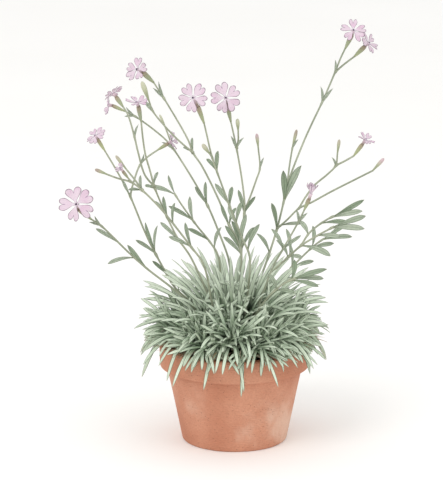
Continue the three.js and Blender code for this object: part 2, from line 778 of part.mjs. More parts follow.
const group = new THREE.Group();
const grown = stems.map((stem) => ({ name: stem.name, ...curvesOf(stem) }));
group.add(mesh("pot", makePot(), terracotta));
group.add(mesh("soil", makeSoil(), earth));
group.add(mesh("leaf_mound", makeMound(grown), sage));
for (const stem of grown) {
  group.add(mesh(stem.name, makeStem(stem), olive));
  const blooming = stem.stalks.filter(({ bloom }) => bloom);
  blooming.forEach((stalk, i) => {
    group.add(mesh(`bloom_${stem.name.at(-1)}${i + 1}`, makeBloom(stalk), pink));
  });
}

export default group;
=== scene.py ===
"""The looks of a potted cushion-forming campion, built round its fixed frame.

Metres, +Z up, and -Y is the front. The plant's own lengths are given in millimetres, times MM.
"""

import math
import random

import bmesh
import bpy
import numpy as np
from mathutils import Matrix, Vector, noise
from mathutils.kdtree import KDTree


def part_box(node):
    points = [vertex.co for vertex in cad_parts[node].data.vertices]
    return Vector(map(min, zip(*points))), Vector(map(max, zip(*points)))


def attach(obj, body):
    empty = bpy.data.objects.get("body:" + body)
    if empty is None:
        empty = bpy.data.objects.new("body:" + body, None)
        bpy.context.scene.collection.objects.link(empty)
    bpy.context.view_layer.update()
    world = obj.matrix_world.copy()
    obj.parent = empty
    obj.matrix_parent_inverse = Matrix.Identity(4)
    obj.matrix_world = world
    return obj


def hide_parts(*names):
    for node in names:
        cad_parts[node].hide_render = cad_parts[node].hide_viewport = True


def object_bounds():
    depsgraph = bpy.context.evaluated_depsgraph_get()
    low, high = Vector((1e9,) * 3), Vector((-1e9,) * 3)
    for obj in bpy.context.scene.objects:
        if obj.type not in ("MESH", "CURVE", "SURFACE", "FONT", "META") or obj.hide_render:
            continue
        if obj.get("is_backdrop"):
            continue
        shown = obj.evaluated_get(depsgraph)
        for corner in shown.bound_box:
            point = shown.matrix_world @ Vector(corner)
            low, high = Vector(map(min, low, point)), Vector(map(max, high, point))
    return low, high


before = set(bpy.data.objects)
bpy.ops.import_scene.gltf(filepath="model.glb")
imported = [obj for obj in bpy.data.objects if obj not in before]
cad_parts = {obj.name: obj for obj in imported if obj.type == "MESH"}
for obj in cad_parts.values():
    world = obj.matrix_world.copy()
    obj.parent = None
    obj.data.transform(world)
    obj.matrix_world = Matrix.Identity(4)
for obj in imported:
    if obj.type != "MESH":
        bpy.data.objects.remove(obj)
CAD_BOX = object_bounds()
MM = 0.001
GAP = 0.3 * MM
SAME_PLACE = 1e-6
GOLDEN_TURN = math.pi * (3 - math.sqrt(5))

# The pot and its soil
POT_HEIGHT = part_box("pot")[1].z
RIM_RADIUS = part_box("pot")[1].x
SOIL_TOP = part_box("soil")[1].z
FOOT_RADIUS = 32 * MM
BAND_HEIGHT = 14 * MM
BAND_STEP = 1.8 * MM
WALL = 3.6 * MM
FLOOR = 5 * MM
DRAIN_COUNT = 3
DRAIN_RADIUS = 3.5 * MM
DRAIN_OFFSET = 17 * MM
FIRST_DRAIN_TURN = 0.4
CRUMB_COUNT = 520
POT_STEPS, SOIL_STEPS, DRAIN_STEPS = 120, 96, 32

# The leaf mound, measured from the soil
CORE_RADIUS = 27 * MM
CORE_HEIGHT = 21 * MM
CORE_STEPS = 48
NECK_RADIUS = 8 * MM
NECK_DEPTH = 14 * MM
BLADE_COUNT = 205
BLADE_TRIES = 14
BLADE_WIDTH = 2.2 * MM
BLADE_THICKNESS = 0.8 * MM
MOUND_REACH = 60 * MM
MOUND_HEIGHT = 61 * MM
MOUND_SHOULDERS = 3
LOWEST_LEAN = math.radians(96)
TIP_DROOP = 8 * MM
STEM_CLEARANCE = 0.7 * MM
CROWN_COUNT, CROWN_LEAVES = 68, 15
LOWEST_CROWN_LEAN = math.radians(98)
RIM_CROWN_COUNT, RIM_CROWN_LEAVES = 32, 14
DRY_LEAF_COUNT = 480
MOUND_LEAF_THICKNESS, FAN_LEAF_THICKNESS, DRY_LEAF_THICKNESS = 0.6 * MM, 0.55 * MM, 0.25 * MM

# Stems, leaves and flowers
STALK_FOOT = 0.7 * MM
BRANCH_FOOT = 0.58 * MM
STALK_TIP = 0.5 * MM
NODE_SWELLING, NODE_LENGTH = 0.22 * MM, 1.1 * MM
LEAF_THICKNESS = 0.5 * MM
CALYX_RADIUS = 1.42 * MM
CALYX_TEETH, CALYX_RIBS, CALYX_RIB_DEPTH = 5, 10, 0.055
TOOTH_LENGTH = 1.1 * MM
CUP_DEPTH = 3.2 * MM
BUD_RADIUS = 1.25 * MM
PETAL_COUNT = 5
PETAL_THICKNESS = 0.22 * MM
LARGE_FLOWER, SMALL_FLOWER = 8.2 * MM, 5 * MM
THROAT = 0.07
LOBE = 0.54
CLAW_RADIUS = 0.6 * MM
SCALE_COUNT, ANTHER_COUNT = 10, 5

# How many faces each kind of skin has across or round it, and along it
STALK_COLUMNS, STALK_ROWS = 8, 7
CALYX_COLUMNS = 30
BUD_GRID, CLAW_GRID, PETAL_GRID, EYE_GRID, SPECK_GRID = (20, 18), (20, 14), (24, 14), (12, 4), (6, 5)
STEM_LEAF_GRID, BRACT_GRID = (12, 13), (8, 9)
BLADE_GRID, CROWN_LEAF_GRID, FAN_LEAF_GRID, BRANCHLET_GRID = (6, 10), (6, 8), (10, 12), (6, 6)

# The viewer in front of the plant
EYE_DISTANCE = 1.4
EYE_SLANT = math.radians(12)
EYE = Vector((0, -EYE_DISTANCE, SOIL_TOP + 100 * MM + EYE_DISTANCE * math.tan(EYE_SLANT)))
PICTURE_MIDDLE = Vector((-8 * MM, 0, 124 * MM))
PICTURE_HEIGHT = 290 * MM
SENSOR_WIDTH = 36


def seen(across, up, depth):
    """The place that the viewer sees at across and up, depth behind a sheet through the pot's axis."""
    on_sheet = Vector((across * MM, 0, SOIL_TOP + up * MM))
    return EYE + (on_sheet - EYE) * (1 + depth * MM / EYE_DISTANCE)


# Flower stems and leafy shoots, in millimetres as the viewer sees them. A stalk's line starts at its foot, or
# where it branches off, and ends at the base of its calyx or bud. A leaf is given by its root, its tip with
# the depth past the root, and its width. Bracts are leaves under 2 mm wide.
def flowering(line, calyx, face, facing, radius, spin, spread=88, girth=1.0):
    """A stalk with a flower, whose petals are spread so many degrees from its axis."""
    bloom = dict(face=face, facing=facing, radius=radius, spin=spin, spread=spread)
    return dict(line=line, calyx=calyx, girth=girth, bloom=bloom)


def budding(line, bud, girth, blush=0.0):
    """A stalk with a bud, green at a blush of 0, brown at 0.5 and pink at 1."""
    return dict(line=line, bud=bud, girth=girth, blush=blush)


def leafy(line):
    """A stalk with only leaves or branches."""
    return dict(line=line)


def grown(name, *stalks, leaves, bracts=()):
    return dict(name=name, stalks=stalks, leaves=leaves, bracts=bracts)


STEMS = [
    grown(
        "flower_stem_a",
        flowering(
            [(-9, 9, -5), (-24, 27, -12), (-38, 40, -19), (-53, 52, -26), (-64, 62, -30), (-81, 79, -36),
             (-87, 83, -38)],
            calyx=(-94, 89, -43), face=(-95.5, 92, -47), facing=(-0.2, -1, 0.15), radius=10.5, spin=111,
        ),
        leaves=[
            ((-53, 52), (-65, 67, -4), 3), ((-60, 59), (-77, 55, -3), 2.6), ((-70, 68), (-84, 77, 5), 2.6),
        ],
        bracts=[((-81, 79), (-84.5, 85, -2), 1.6), ((-81, 79), (-88, 81, 2), 1.6)],
    ),
    grown(
        "flower_stem_b",
        flowering(
            [(-8, 12, 4), (-24, 29, 10), (-36, 40, 14), (-43, 52, 17), (-53, 72, 23), (-63, 97, 29),
             (-70, 111, 33), (-78, 125, 37)],
            calyx=(-82, 131.5, 39), face=(-83.5, 134, 39), facing=(-0.5, -0.5, 0.75), radius=6.5, spin=80,
            girth=0.8,
        ),
        flowering(
            [(-63, 97, 29), (-61, 105, 32), (-57, 116, 37), (-53, 120.5, 40), (-46, 125.5, 44)],
            calyx=(-40.5, 129, 47), face=(-38, 130.5, 48), facing=(0.9, -0.3, 0.3), radius=6.2, spin=60,
            spread=68, girth=0.8,
        ),
        leaves=[
            ((-41, 48), (-50, 57, -4), 2.4), ((-47, 61), (-60, 70, -3), 2.6), ((-48, 62), (-54, 81, 5), 2.6),
            ((-48, 63), (-46.5, 79, -5), 2.4), ((-63, 97), (-67.5, 107, -3), 2),
        ],
        bracts=[((-57, 116), (-54.5, 123, -2), 1.6)],
    ),
    grown(
        "flower_stem_c",
        leafy(
            [(-7, 14, -3), (-17, 38, -10), (-27, 60, -16), (-35, 72, -20), (-45, 94, -26), (-48.5, 103, -28)],
        ),
        flowering(
            [(-48.5, 103, -28), (-54, 110, -29), (-58, 124, -30), (-60, 133, -30), (-64, 147, -29),
             (-67, 152, -28)],
            calyx=(-70.5, 157, -26), face=(-72.5, 159.5, -25), facing=(-0.55, 0.4, 0.75), radius=6.5, spin=70,
            spread=80, girth=0.9,
        ),
        flowering(
            [(-48.5, 103, -28), (-51, 113, -32), (-53.5, 122, -36), (-55, 132, -40), (-56, 143, -44)],
            calyx=(-57.5, 151.5, -46), face=(-58.5, 154, -46.5), facing=(0, -0.25, 1), radius=7, spin=40,
            spread=72, girth=0.9,
        ),
        leaves=[
            ((-33, 69), (-45, 81, 6), 2.6), ((-41, 84), (-48, 94, 4), 2.2), ((-41, 84), (-43, 97, -5), 2.4),
            ((-48.5, 103), (-46, 112, 4), 2), ((-48, 101), (-54, 103.5, 5), 2),
        ],
        bracts=[((-60, 133), (-57.5, 141, -2), 1.5)],
    ),
    grown(
        "flower_stem_d",
        flowering(
            [(-2, 15, 7), (-2, 35, 14), (-3, 55, 23), (-9.5, 74.5, 35), (-16.5, 91.5, 42), (-31, 117, 54),
             (-39.5, 129.5, 60), (-47, 136.5, 64), (-60, 146, 70), (-66, 149, 72)],
            calyx=(-72.5, 152, 74), face=(-75, 152.5, 74.5), facing=(-1, -0.15, 0.15), radius=7, spin=20,
            spread=75, girth=0.8,
        ),
        budding(
            [(-37, 126, 58.5), (-39, 132, 62), (-41.5, 139, 66)],
            bud=(-45, 147, 69), girth=0.6,
        ),
        leaves=[
            ((-16.5, 91.5), (-24, 103, -5), 2.6), ((-16.5, 91.5), (-17.5, 106, 6), 2.4),
        ],
        bracts=[
            ((-37, 126), (-44, 130, -2), 1.8), ((-60, 146), (-65, 151.5, -2), 1.6),
            ((-60, 146), (-66, 145.5, 3), 1.6),
        ],
    ),
    grown(
        "flower_stem_e",
        budding(
            [(-9, 10, -11), (-14, 32, -22), (-19, 55, -31), (-27, 66.5, -37), (-41, 85, -46), (-47, 92, -50),
             (-55.5, 100.5, -55), (-62, 105.5, -59), (-70.5, 108, -63), (-77, 110.5, -66)],
            bud=(-84, 113.5, -69), girth=0.8, blush=0.6,
        ),
        budding(
            [(-55.5, 100.5, -55), (-60, 107, -54), (-65.5, 114, -52)],
            bud=(-71.5, 122, -50), girth=0.75, blush=0.3,
        ),
        flowering(
            [(-62, 105.5, -59), (-64, 108, -61)],
            calyx=(-67, 112, -64), face=(-68.5, 114, -65.5), facing=(-0.6, -0.5, 0.65), radius=3.6, spin=50,
            spread=62, girth=0.8,
        ),
        leaves=[
            ((-26, 66), (-40, 72, -5), 2.8), ((-25, 65), (-30, 81, -5), 2.4), ((-37, 80), (-36, 93, -4), 2.4),
            ((-55.5, 100.5), (-56.5, 110, -4), 2), ((-55.5, 100.5), (-64, 101, 3), 2),
        ],
    ),
    grown(
        "flower_stem_f",
        flowering(
            [(0, 16, 0), (2.5, 40, 5), (4, 61, 10), (1, 71.5, 14), (-4, 80.5, 18), (-9.5, 94.5, 24),
             (-20, 116, 33), (-25, 123.5, 36), (-28, 131.5, 39), (-41, 154.5, 45), (-48.5, 166.5, 48)],
            calyx=(-54.5, 172, 49), face=(-58, 174, 46.5), facing=(-0.55, -0.7, 0.4), radius=8, spin=95,
            spread=78, girth=1.12,
        ),
        budding(
            [(-25, 123.5, 36), (-34.5, 132, 33), (-42, 140, 30), (-49, 149, 27), (-51, 154.5, 26)],
            bud=(-55.5, 167, 24), girth=1.2,
        ),
        leaves=[
            ((4, 61), (-7, 72, 6), 3), ((3.5, 64), (-6, 79, 0), 3), ((3.5, 64), (7, 86, 4), 3.2),
            ((-3, 79), (-8, 92, 1), 2.8), ((-3, 79), (1, 90, 4), 2.6), ((-25, 123.5), (-25.5, 133, 4), 2),
            ((-25, 123.5), (-31, 127, 4), 2),
        ],
        bracts=[
            ((-42.5, 157), (-45.5, 167, -3), 1.7), ((-42.5, 157), (-49, 163, -3), 1.7),
            ((-49, 149), (-55, 155.5, -2), 2.5),
        ],
    ),
    grown(
        "flower_stem_i",
        flowering(
            [(5, 13, -10), (8, 38, -17), (9, 60, -24), (5, 70, -27), (1, 80, -31), (-8, 104.5, -39),
             (-13.5, 120.5, -44), (-17, 135.5, -48), (-18.5, 142, -50)],
            calyx=(-22, 151.5, -54), face=(-25, 157, -58.5), facing=(-0.2, -1, 0.25), radius=8.6, spin=127,
            girth=0.95,
        ),
        budding(
            [(-13.5, 120.5, -44), (-15, 123, -46)],
            bud=(-19.5, 129, -49), girth=1.0, blush=0.2,
        ),
        leaves=[
            ((8, 63), (15, 80, -6), 3), ((2, 78), (-4, 91, 5), 3), ((1, 80), (4.5, 94, -5), 2.8),
            ((-3.5, 92), (-12, 105, -4), 3.2), ((-3, 91), (-1.5, 103, 4), 2.8),
            ((-10.5, 112), (-10, 125, -4), 3), ((-10.5, 112), (-17, 120, 5), 2.4),
        ],
    ),
    grown(
        "flower_stem_j",
        flowering(
            [(2, 15, 8), (4, 38, 16), (4, 62, 22), (5, 80, 26), (6, 90, 28), (4.5, 105.5, 32), (1, 126.5, 35),
             (-2.5, 143, 38)],
            calyx=(-4.5, 152.5, 36), face=(-5.5, 157, 32), facing=(0.05, -1, 0.2), radius=9.5, spin=105,
        ),
        budding(
            [(1, 126.5, 35), (2, 131, 37), (2, 137, 38)],
            bud=(1.5, 144.5, 39), girth=0.95,
        ),
        budding(
            [(6, 88.5, 28), (9, 96, 32), (13, 107.5, 38), (15, 114, 42), (14, 127, 47)],
            bud=(13, 135.5, 50), girth=0.85, blush=0.9,
        ),
        leaves=[
            ((4, 64), (12, 78, 4), 3), ((4, 64), (-2, 82, 7), 3), ((5.5, 86), (2, 101, 5), 2.6),
            ((5.5, 86), (12.5, 97, -3), 2.4),
        ],
        bracts=[
            ((1, 126.5), (-2.5, 134, -4), 1.7), ((1, 126.5), (5.5, 133, 3), 1.7),
            ((15, 114), (17.5, 121, 2), 1.5),
        ],
    ),
    grown(
        "flower_stem_l",
        flowering(
            [(6, 15, 2), (11, 34, 8), (18, 53, 14), (21.5, 63.5, 17), (25.5, 77, 20), (29.5, 94, 24),
             (31.5, 104, 26), (41, 130, 31), (46, 141.5, 33), (52, 154.5, 36), (59.5, 172.5, 39.5),
             (62.5, 180.5, 40), (65.5, 187, 41)],
            calyx=(69, 194.5, 41.5), face=(70, 197.5, 40), facing=(0.1, -0.75, 0.65), radius=8, spin=85,
            spread=84,
        ),
        flowering(
            [(59.5, 172.5, 39.5), (64.5, 177, 42), (71, 182, 46)],
            calyx=(76.5, 187.5, 49), face=(79, 190, 49.5), facing=(0.7, -0.5, 0.55), radius=7.5, spin=30,
            spread=76,
        ),
        budding(
            [(31.5, 104, 26), (32, 109, 29), (33, 117.5, 34), (34.5, 127, 39)],
            bud=(37, 138, 43), girth=0.8, blush=0.5,
        ),
        budding(
            [(25.5, 77, 20), (32, 83, 12), (38.5, 89.5, 4), (46.5, 93.5, -3), (58, 100, -8), (69.5, 106, -13),
             (83, 113, -19)],
            bud=(89.5, 120.5, -22), girth=0.85, blush=1.0,
        ),
        budding(
            [(38.5, 89.5, 4), (42.5, 96.5, 5), (48, 104, 7), (55.5, 110.5, 9), (60.5, 116, 10),
             (61.5, 124, 12)],
            bud=(62.5, 132, 13), girth=0.75, blush=0.3,
        ),
        flowering(
            [(60.5, 116, 10), (65.5, 118.5, 9), (71.5, 122, 8)],
            calyx=(76, 128.5, 8), face=(78, 131.5, 8.5), facing=(0.42, -0.35, 0.75), radius=6, spin=15,
            spread=66, girth=0.85,
        ),
        leaves=[
            ((21, 62), (13, 74, -4), 3), ((25, 76), (22, 93, -4), 3), ((28, 79), (41, 80.5, -3), 2.4),
            ((29.5, 94), (29, 113, -6), 4), ((29.5, 94), (40, 116, -4), 4.8),
        ],
        bracts=[
            ((52, 154.5), (51, 164, -3), 1.9), ((52, 154.5), (58.5, 163, -4), 1.9),
            ((59.5, 172.5), (59.5, 180, -3), 1.6), ((34.5, 127), (38, 132, -2), 1.4),
            ((60.5, 116), (58, 121, -3), 1.5),
        ],
    ),
    grown(
        "flower_stem_o",
        flowering(
            [(9, 12, -11), (16, 33, -21), (23, 53, -31), (29.5, 65, -38), (38.5, 81.5, -47), (42, 89, -50)],
            calyx=(44.5, 95, -52), face=(45.5, 98, -53), facing=(0.22, -0.1, 1), radius=7.5, spin=10,
            spread=24, girth=0.85,
        ),
        leaves=[
            ((29, 64), (22, 77, -4), 2.6), ((29, 64), (40, 73, -5), 2.4),
        ],
        bracts=[((38.5, 81.5), (44, 87, -3), 1.8), ((38.5, 81.5), (37, 89, 2), 1.8)],
    ),
    grown(
        "leafy_shoot_h",
        leafy(
            [(-5, 15, 1), (-8, 38, 6), (-10, 60, 9), (-15.5, 69.5, 10), (-23, 79, 11), (-32.5, 92.5, 12),
             (-36.5, 99, 12.5)],
        ),
        leaves=[
            ((-12, 64), (-8, 78, -5), 3), ((-15.5, 69.5), (-28.5, 77, -5), 3),
            ((-25, 82), (-40, 91, -5), 3.2), ((-25, 82), (-27, 97, 4), 3), ((-36, 98), (-53, 103, -2), 3.4),
            ((-36, 98), (-40, 110, 3), 2.2),
        ],
    ),
    grown(
        "leafy_shoot_p",
        leafy(
            [(9, 16, -5), (15, 32, -9), (21.5, 48, -13), (34, 61, -19), (40, 66.5, -21), (48.5, 72, -24),
             (60, 78.5, -27)],
        ),
        leafy(
            [(40, 66.5, -21), (45.5, 75, -15), (56, 83, -9), (60, 85, -7)],
        ),
        leaves=[
            ((33, 60), (41, 59, -6), 3), ((32, 59), (25, 70, -5), 3), ((33, 60), (31, 77, 4), 3),
            ((40, 66.5), (58, 60, -7), 4.2), ((44, 73), (39, 82, 4), 3.4), ((50, 73), (64, 72, -5), 3.6),
            ((58, 77.5), (78.5, 77, -5), 4.2), ((59, 78), (79, 85, -2), 4), ((52, 81), (69, 80.5, 3), 3.6),
            ((58, 84), (77, 88, 1), 3.8), ((59, 84.5), (78, 95, 4), 3.6),
        ],
    ),
    grown(
        "leafy_shoot_q",
        leafy(
            [(10, 18, 9), (20, 35, 17), (35.5, 54, 27), (48.5, 67, 34), (54, 71, 37)],
        ),
        leaves=[
            ((34, 53), (48, 57, 5), 3.2), ((34, 53), (33, 68, 3), 3), ((46, 65), (60, 68, 5), 3.4),
            ((46, 65), (47, 79, 5), 3), ((53, 70), (71, 72, 4), 3.6), ((53, 70), (67, 80, 6), 3.4),
        ],
    ),
    grown(
        "leafy_shoot_r",
        leafy(
            [(10, 11, -15), (13, 23, -26), (20, 34, -35), (30, 43, -42), (37, 46.5, -46)],
        ),
        leaves=[
            ((25, 39), (36.5, 37, -5), 3.2), ((25, 39), (20, 49, -6), 3), ((34, 45), (36, 58, -3), 3.4),
            ((34, 45), (51, 41, -5), 3.2), ((36, 46), (56, 52, -3), 3.8), ((36, 46), (54, 46, 3), 3.4),
        ],
    ),
]

# The fans of leaves at the front of the mound: where the viewer sees each crown, and its leaves' tips.
FANS = [
    (
        (-2, 4, -32),
        [(0.5, 20.5, -38), (-4, 13.5, -42), (-12, 33, -38), (-18, 26, -42), (-13, 10.5, -46),
         (9.5, 10.5, -48), (8.5, 20.5, -44), (19, 27.5, -40), (20.5, 24, -44), (-9, 4.5, -47),
         (-7.5, -15, -57), (5, 29, -36), (-21, 17, -46), (2, -9, -55), (-1.5, 30, -34)],
    ),
    (
        (-19, 3, -27),
        [(-31.5, 19, -38), (-24, 19, -40), (-38, 10, -36), (-41, 3, -34), (-26.5, -13.5, -50),
         (-31.5, -10, -46), (-20, -12, -53), (-12.5, -14.5, -57), (-37, -3, -40), (-29, 27, -32),
         (-18, 24, -36), (-44, 15, -26)],
    ),
    (
        (15, 4, -28),
        [(24, 18.5, -40), (30, 22, -36), (14, 16, -44), (7.5, -11, -56), (10.5, -14, -57), (21.5, -13, -54),
         (30, -10.5, -48), (17.5, -10.5, -55), (34, 3, -38), (37, 11, -32), (28, 8, -42), (36, 20, -27),
         (40, -3, -34), (19, 31, -32)],
    ),
]


# Directions and lines
def upward(height):
    return Vector((0, 0, height))


def level(turn):
    """The level direction at a turn round the pot's axis."""
    return Vector((math.cos(turn), math.sin(turn), 0))


def beside(direction):
    """The level direction at right angles to another."""
    return Vector((-direction.y, direction.x, 0))


def unit(vectors):
    return vectors / np.linalg.norm(vectors, axis=-1, keepdims=True)


def smooth(value, low=0.0, high=1.0):
    """0 below low, 1 above high, and a smooth rise between them."""
    share = np.clip((np.asarray(value, dtype=float) - low) / (high - low), 0, 1)
    return share * share * (3 - 2 * share)


class Line:
    """A smooth line. Its places are found by their share of its length."""

    divisions = 200

    def __init__(self, place):
        self.place = place
        self.turns = np.linspace(0, 1, self.divisions + 1)
        steps = np.linalg.norm(np.diff(place(self.turns), axis=0), axis=1)
        self.marks = np.concatenate(([0.0], np.cumsum(steps)))
        self.length = self.marks[-1]

    def at(self, share):
        return self.place(np.interp(np.asarray(share) * self.length, self.marks, self.turns))

    def along(self, share):
        share = np.asarray(share, dtype=float)
        return unit(self.at(np.minimum(share + 0.01, 1)) - self.at(np.maximum(share - 0.01, 0)))


def arc(root, tip, middle):
    root, tip, middle = (np.array(point) for point in (root, tip, middle))

    def place(turn):
        t = turn[..., None]
        return (1 - t) ** 2 * root + 2 * t * (1 - t) * middle + t * t * tip

    return Line(place)


def straight(root, tip):
    return arc(root, tip, (np.array(root) + np.array(tip)) / 2)


def through(points):
    """A line that passes evenly through all its points."""
    points = [np.array(point) for point in points]
    ends = [2 * points[0] - points[1], *points, 2 * points[-1] - points[-2]]
    spans = []
    for before, start, end, after in zip(ends, ends[1:], ends[2:], ends[3:]):
        gaps = [np.linalg.norm(b - a) ** 0.5 for a, b in ((before, start), (start, end), (end, after))]
        leaving = (start - before) / gaps[0] - (end - before) / (gaps[0] + gaps[1]) + (end - start) / gaps[1]
        arriving = (end - start) / gaps[1] - (after - start) / (gaps[1] + gaps[2]) + (after - end) / gaps[2]
        leaving, arriving = leaving * gaps[1], arriving * gaps[1]
        bends = (3 * (end - start) - 2 * leaving - arriving, 2 * (start - end) + leaving + arriving)
        spans.append((start, leaving, *bends))
    spans = np.array(spans)

    def place(turn):
        scaled = turn * len(spans)
        span = np.minimum(scaled.astype(int), len(spans) - 1)
        t = (scaled - span)[..., None]
        a, b, c, d = (spans[span, k] for k in range(4))
        return a + b * t + c * t**2 + d * t**3

    return Line(place)


# Skins: a flat grid is made once for each size, and laid round a line or bent for each copy. Its points carry
# marks for the finishes: their share along and across it, its tone, and a mark for ribs or edges.
MARKS = ("along", "across", "tone", "rim")
TIP_CROWDING = 1.9
SHEETS = {}


def flat_sheet(columns, rows):
    """The grid, and each point's share of the way across and its row."""
    if (columns, rows) not in SHEETS:
        grid = bmesh.new()
        for mark in MARKS:
            grid.verts.layers.float.new(mark)
        bmesh.ops.create_grid(grid, x_segments=columns, y_segments=rows, size=1)
        sheet = bpy.data.meshes.new("flat_sheet")
        grid.to_mesh(sheet)
        grid.free()
        places = np.empty(len(sheet.vertices) * 3)
        sheet.vertices.foreach_get("co", places)
        places = places.reshape(-1, 3)
        SHEETS[columns, rows] = sheet, (places[:, 0] + 1) / 2, np.rint((places[:, 1] + 1) / 2 * rows)
    return SHEETS[columns, rows]


class Skins:
    """Skins gathered into one piece."""

    def __init__(self):
        self.shape = bmesh.new()
        for mark in MARKS:
            self.shape.verts.layers.float.new(mark)

    def add(self, grid, lay, finish=0):
        """lay gives the places and marks of the grid's points, from the share across and the row of each."""
        sheet, share, row = flat_sheet(*grid)
        places, marks = lay(share, row, grid[1])
        sheet.vertices.foreach_set("co", places.ravel())
        for mark in MARKS:
            values = np.broadcast_to(marks.get(mark, 0.0), share.shape).astype(np.float32)
            sheet.attributes[mark].data.foreach_set("value", values)
        sheet.polygons.foreach_set("material_index", np.full(len(sheet.polygons), finish, dtype=np.int32))
        self.shape.from_mesh(sheet)


def ends_closed(row, rows, pointed):
    """Each row's place along the line, and the rows that close an end."""
    last = rows if pointed else rows - 1
    return np.clip((row - 1) / (last - 1), 0, 1), (row == 0) | (row == rows)


def around(along, turn):
    """The directions out of a line, at each turn round it."""
    sideways = np.array([0.31, -0.9, 0.3])
    broad = unit(sideways - along * (along @ sideways)[:, None])
    third = np.cross(broad, along)
    return broad * np.cos(turn)[:, None] + third * np.sin(turn)[:, None]


def tube(line, radius_at, tone=0.5, pointed=False, ribs=0, rib_depth=0.0):
    """A skin round a line, at right angles to it."""

    def lay(share, row, rows):
        place, closed = ends_closed(row, rows, pointed)
        turn = 2 * np.pi * share
        radius = radius_at(place) * ~closed * (1 + rib_depth * np.cos(ribs * turn))
        places = line.at(place) + around(line.along(place), turn) * radius[:, None]
        return places, {"along": place, "across": share, "tone": tone, "rim": np.cos(ribs * turn)}

    return lay


def blade(line, width, thickness, face, fullness, fold=0.3, tone=0.5, twist=0.0, wave=0.0):
    """A leaf's skin: broad across the line, thin towards face, and folded up a little along its midrib."""
    face = np.array(face)

    def lay(share, row, rows):
        place, closed = ends_closed(row, rows, pointed=True)
        place = 1 - (1 - place) ** TIP_CROWDING
        turn = 2 * np.pi * share
        along = line.along(place)
        flat = unit(np.cross(along, face))
        up = np.cross(flat, along)
        lean = (twist * place)[:, None]
        broad = flat * np.cos(lean) + up * np.sin(lean)
        up = up * np.cos(lean) - flat * np.sin(lean)
        full = fullness(place) * ~closed
        across = np.cos(turn)
        half = width / 2 * full
        swell = np.sin(turn) * thickness / 2 * (0.4 + 0.6 * full) * (full > 0)
        lift = swell + fold * half * np.abs(across) ** 1.5
        lift += wave * half * np.sin(place * 9 + 6 * tone) * across
        places = line.at(place) + broad * (across * half)[:, None] + up * lift[:, None]
        return places, {"along": place, "across": across, "tone": tone, "rim": np.sin(turn)}

    return lay


def leaf_outline(neck, broadest, fall=2.0):
    """How full a leaf is along its length: neck at the root, 1 where it is broadest, 0 at the tip."""

    def fullness(place):
        rising = neck + (1 - neck) * smooth(place, 0, broadest)
        falling = 1 - np.clip((place - broadest) / (1 - broadest), 0, 1) ** fall
        return np.where(place < broadest, rising, falling)

    return fullness


def leaf_look(draw, fold, twist, tone=(0, 1)):
    """A leaf's fold, tone and twist, drawn between limits."""
    return dict(fold=draw.uniform(*fold), tone=draw.uniform(*tone), twist=draw.uniform(-twist, twist))


def make_piece(name, shape, finishes, node=None):
    """Closes a shape's seams and poles, turns its faces out and makes it a piece of the model."""
    bmesh.ops.remove_doubles(shape, verts=shape.verts, dist=SAME_PLACE)
    bmesh.ops.recalc_face_normals(shape, faces=shape.faces)
    mesh = bpy.data.meshes.new(name)
    shape.to_mesh(mesh)
    shape.free()
    for finish in finishes:
        mesh.materials.append(finish)
    mesh.shade_smooth()
    piece = bpy.data.objects.new(name, mesh)
    bpy.context.scene.collection.objects.link(piece)
    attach(piece, "root")
    if node:
        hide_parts(node)
    return piece


# Finishes. A colour is given as it is seen on a screen, from 0 to 255.
def linear(rgb):
    """The colour in the linear numbers that a shader takes."""
    shares = (channel / 255 for channel in rgb)
    return (*(s / 12.92 if s <= 0.04045 else ((s + 0.055) / 1.055) ** 2.4 for s in shares), 1.0)


class Value:
    """A number that varies over a surface. Sums and products of it are numbers of the same kind."""

    def __init__(self, finish, socket):
        self.finish = finish
        self.socket = socket

    def math(self, operation, *numbers):
        return self.finish.node("ShaderNodeMath", {"operation": operation}, dict(enumerate(numbers)))

    def __add__(self, other):
        return self.math("ADD", self, other)

    def __radd__(self, other):
        return self.math("ADD", other, self)

    def __sub__(self, other):
        return self.math("SUBTRACT", self, other)

    def __rsub__(self, other):
        return self.math("SUBTRACT", other, self)

    def __mul__(self, other):
        return self.math("MULTIPLY", self, other)

    def __rmul__(self, other):
        return self.math("MULTIPLY", other, self)

    def __abs__(self):
        return self.math("ABSOLUTE", self)

    def cosine(self):
        return self.math("COSINE", self)

    def between(self, low, high):
        """0 where it is below low, 1 where it is above high, and a smooth rise between them."""
        settings = {"interpolation_type": "SMOOTHSTEP"}
        return self.finish.node("ShaderNodeMapRange", settings, {0: self, 1: low, 2: high})


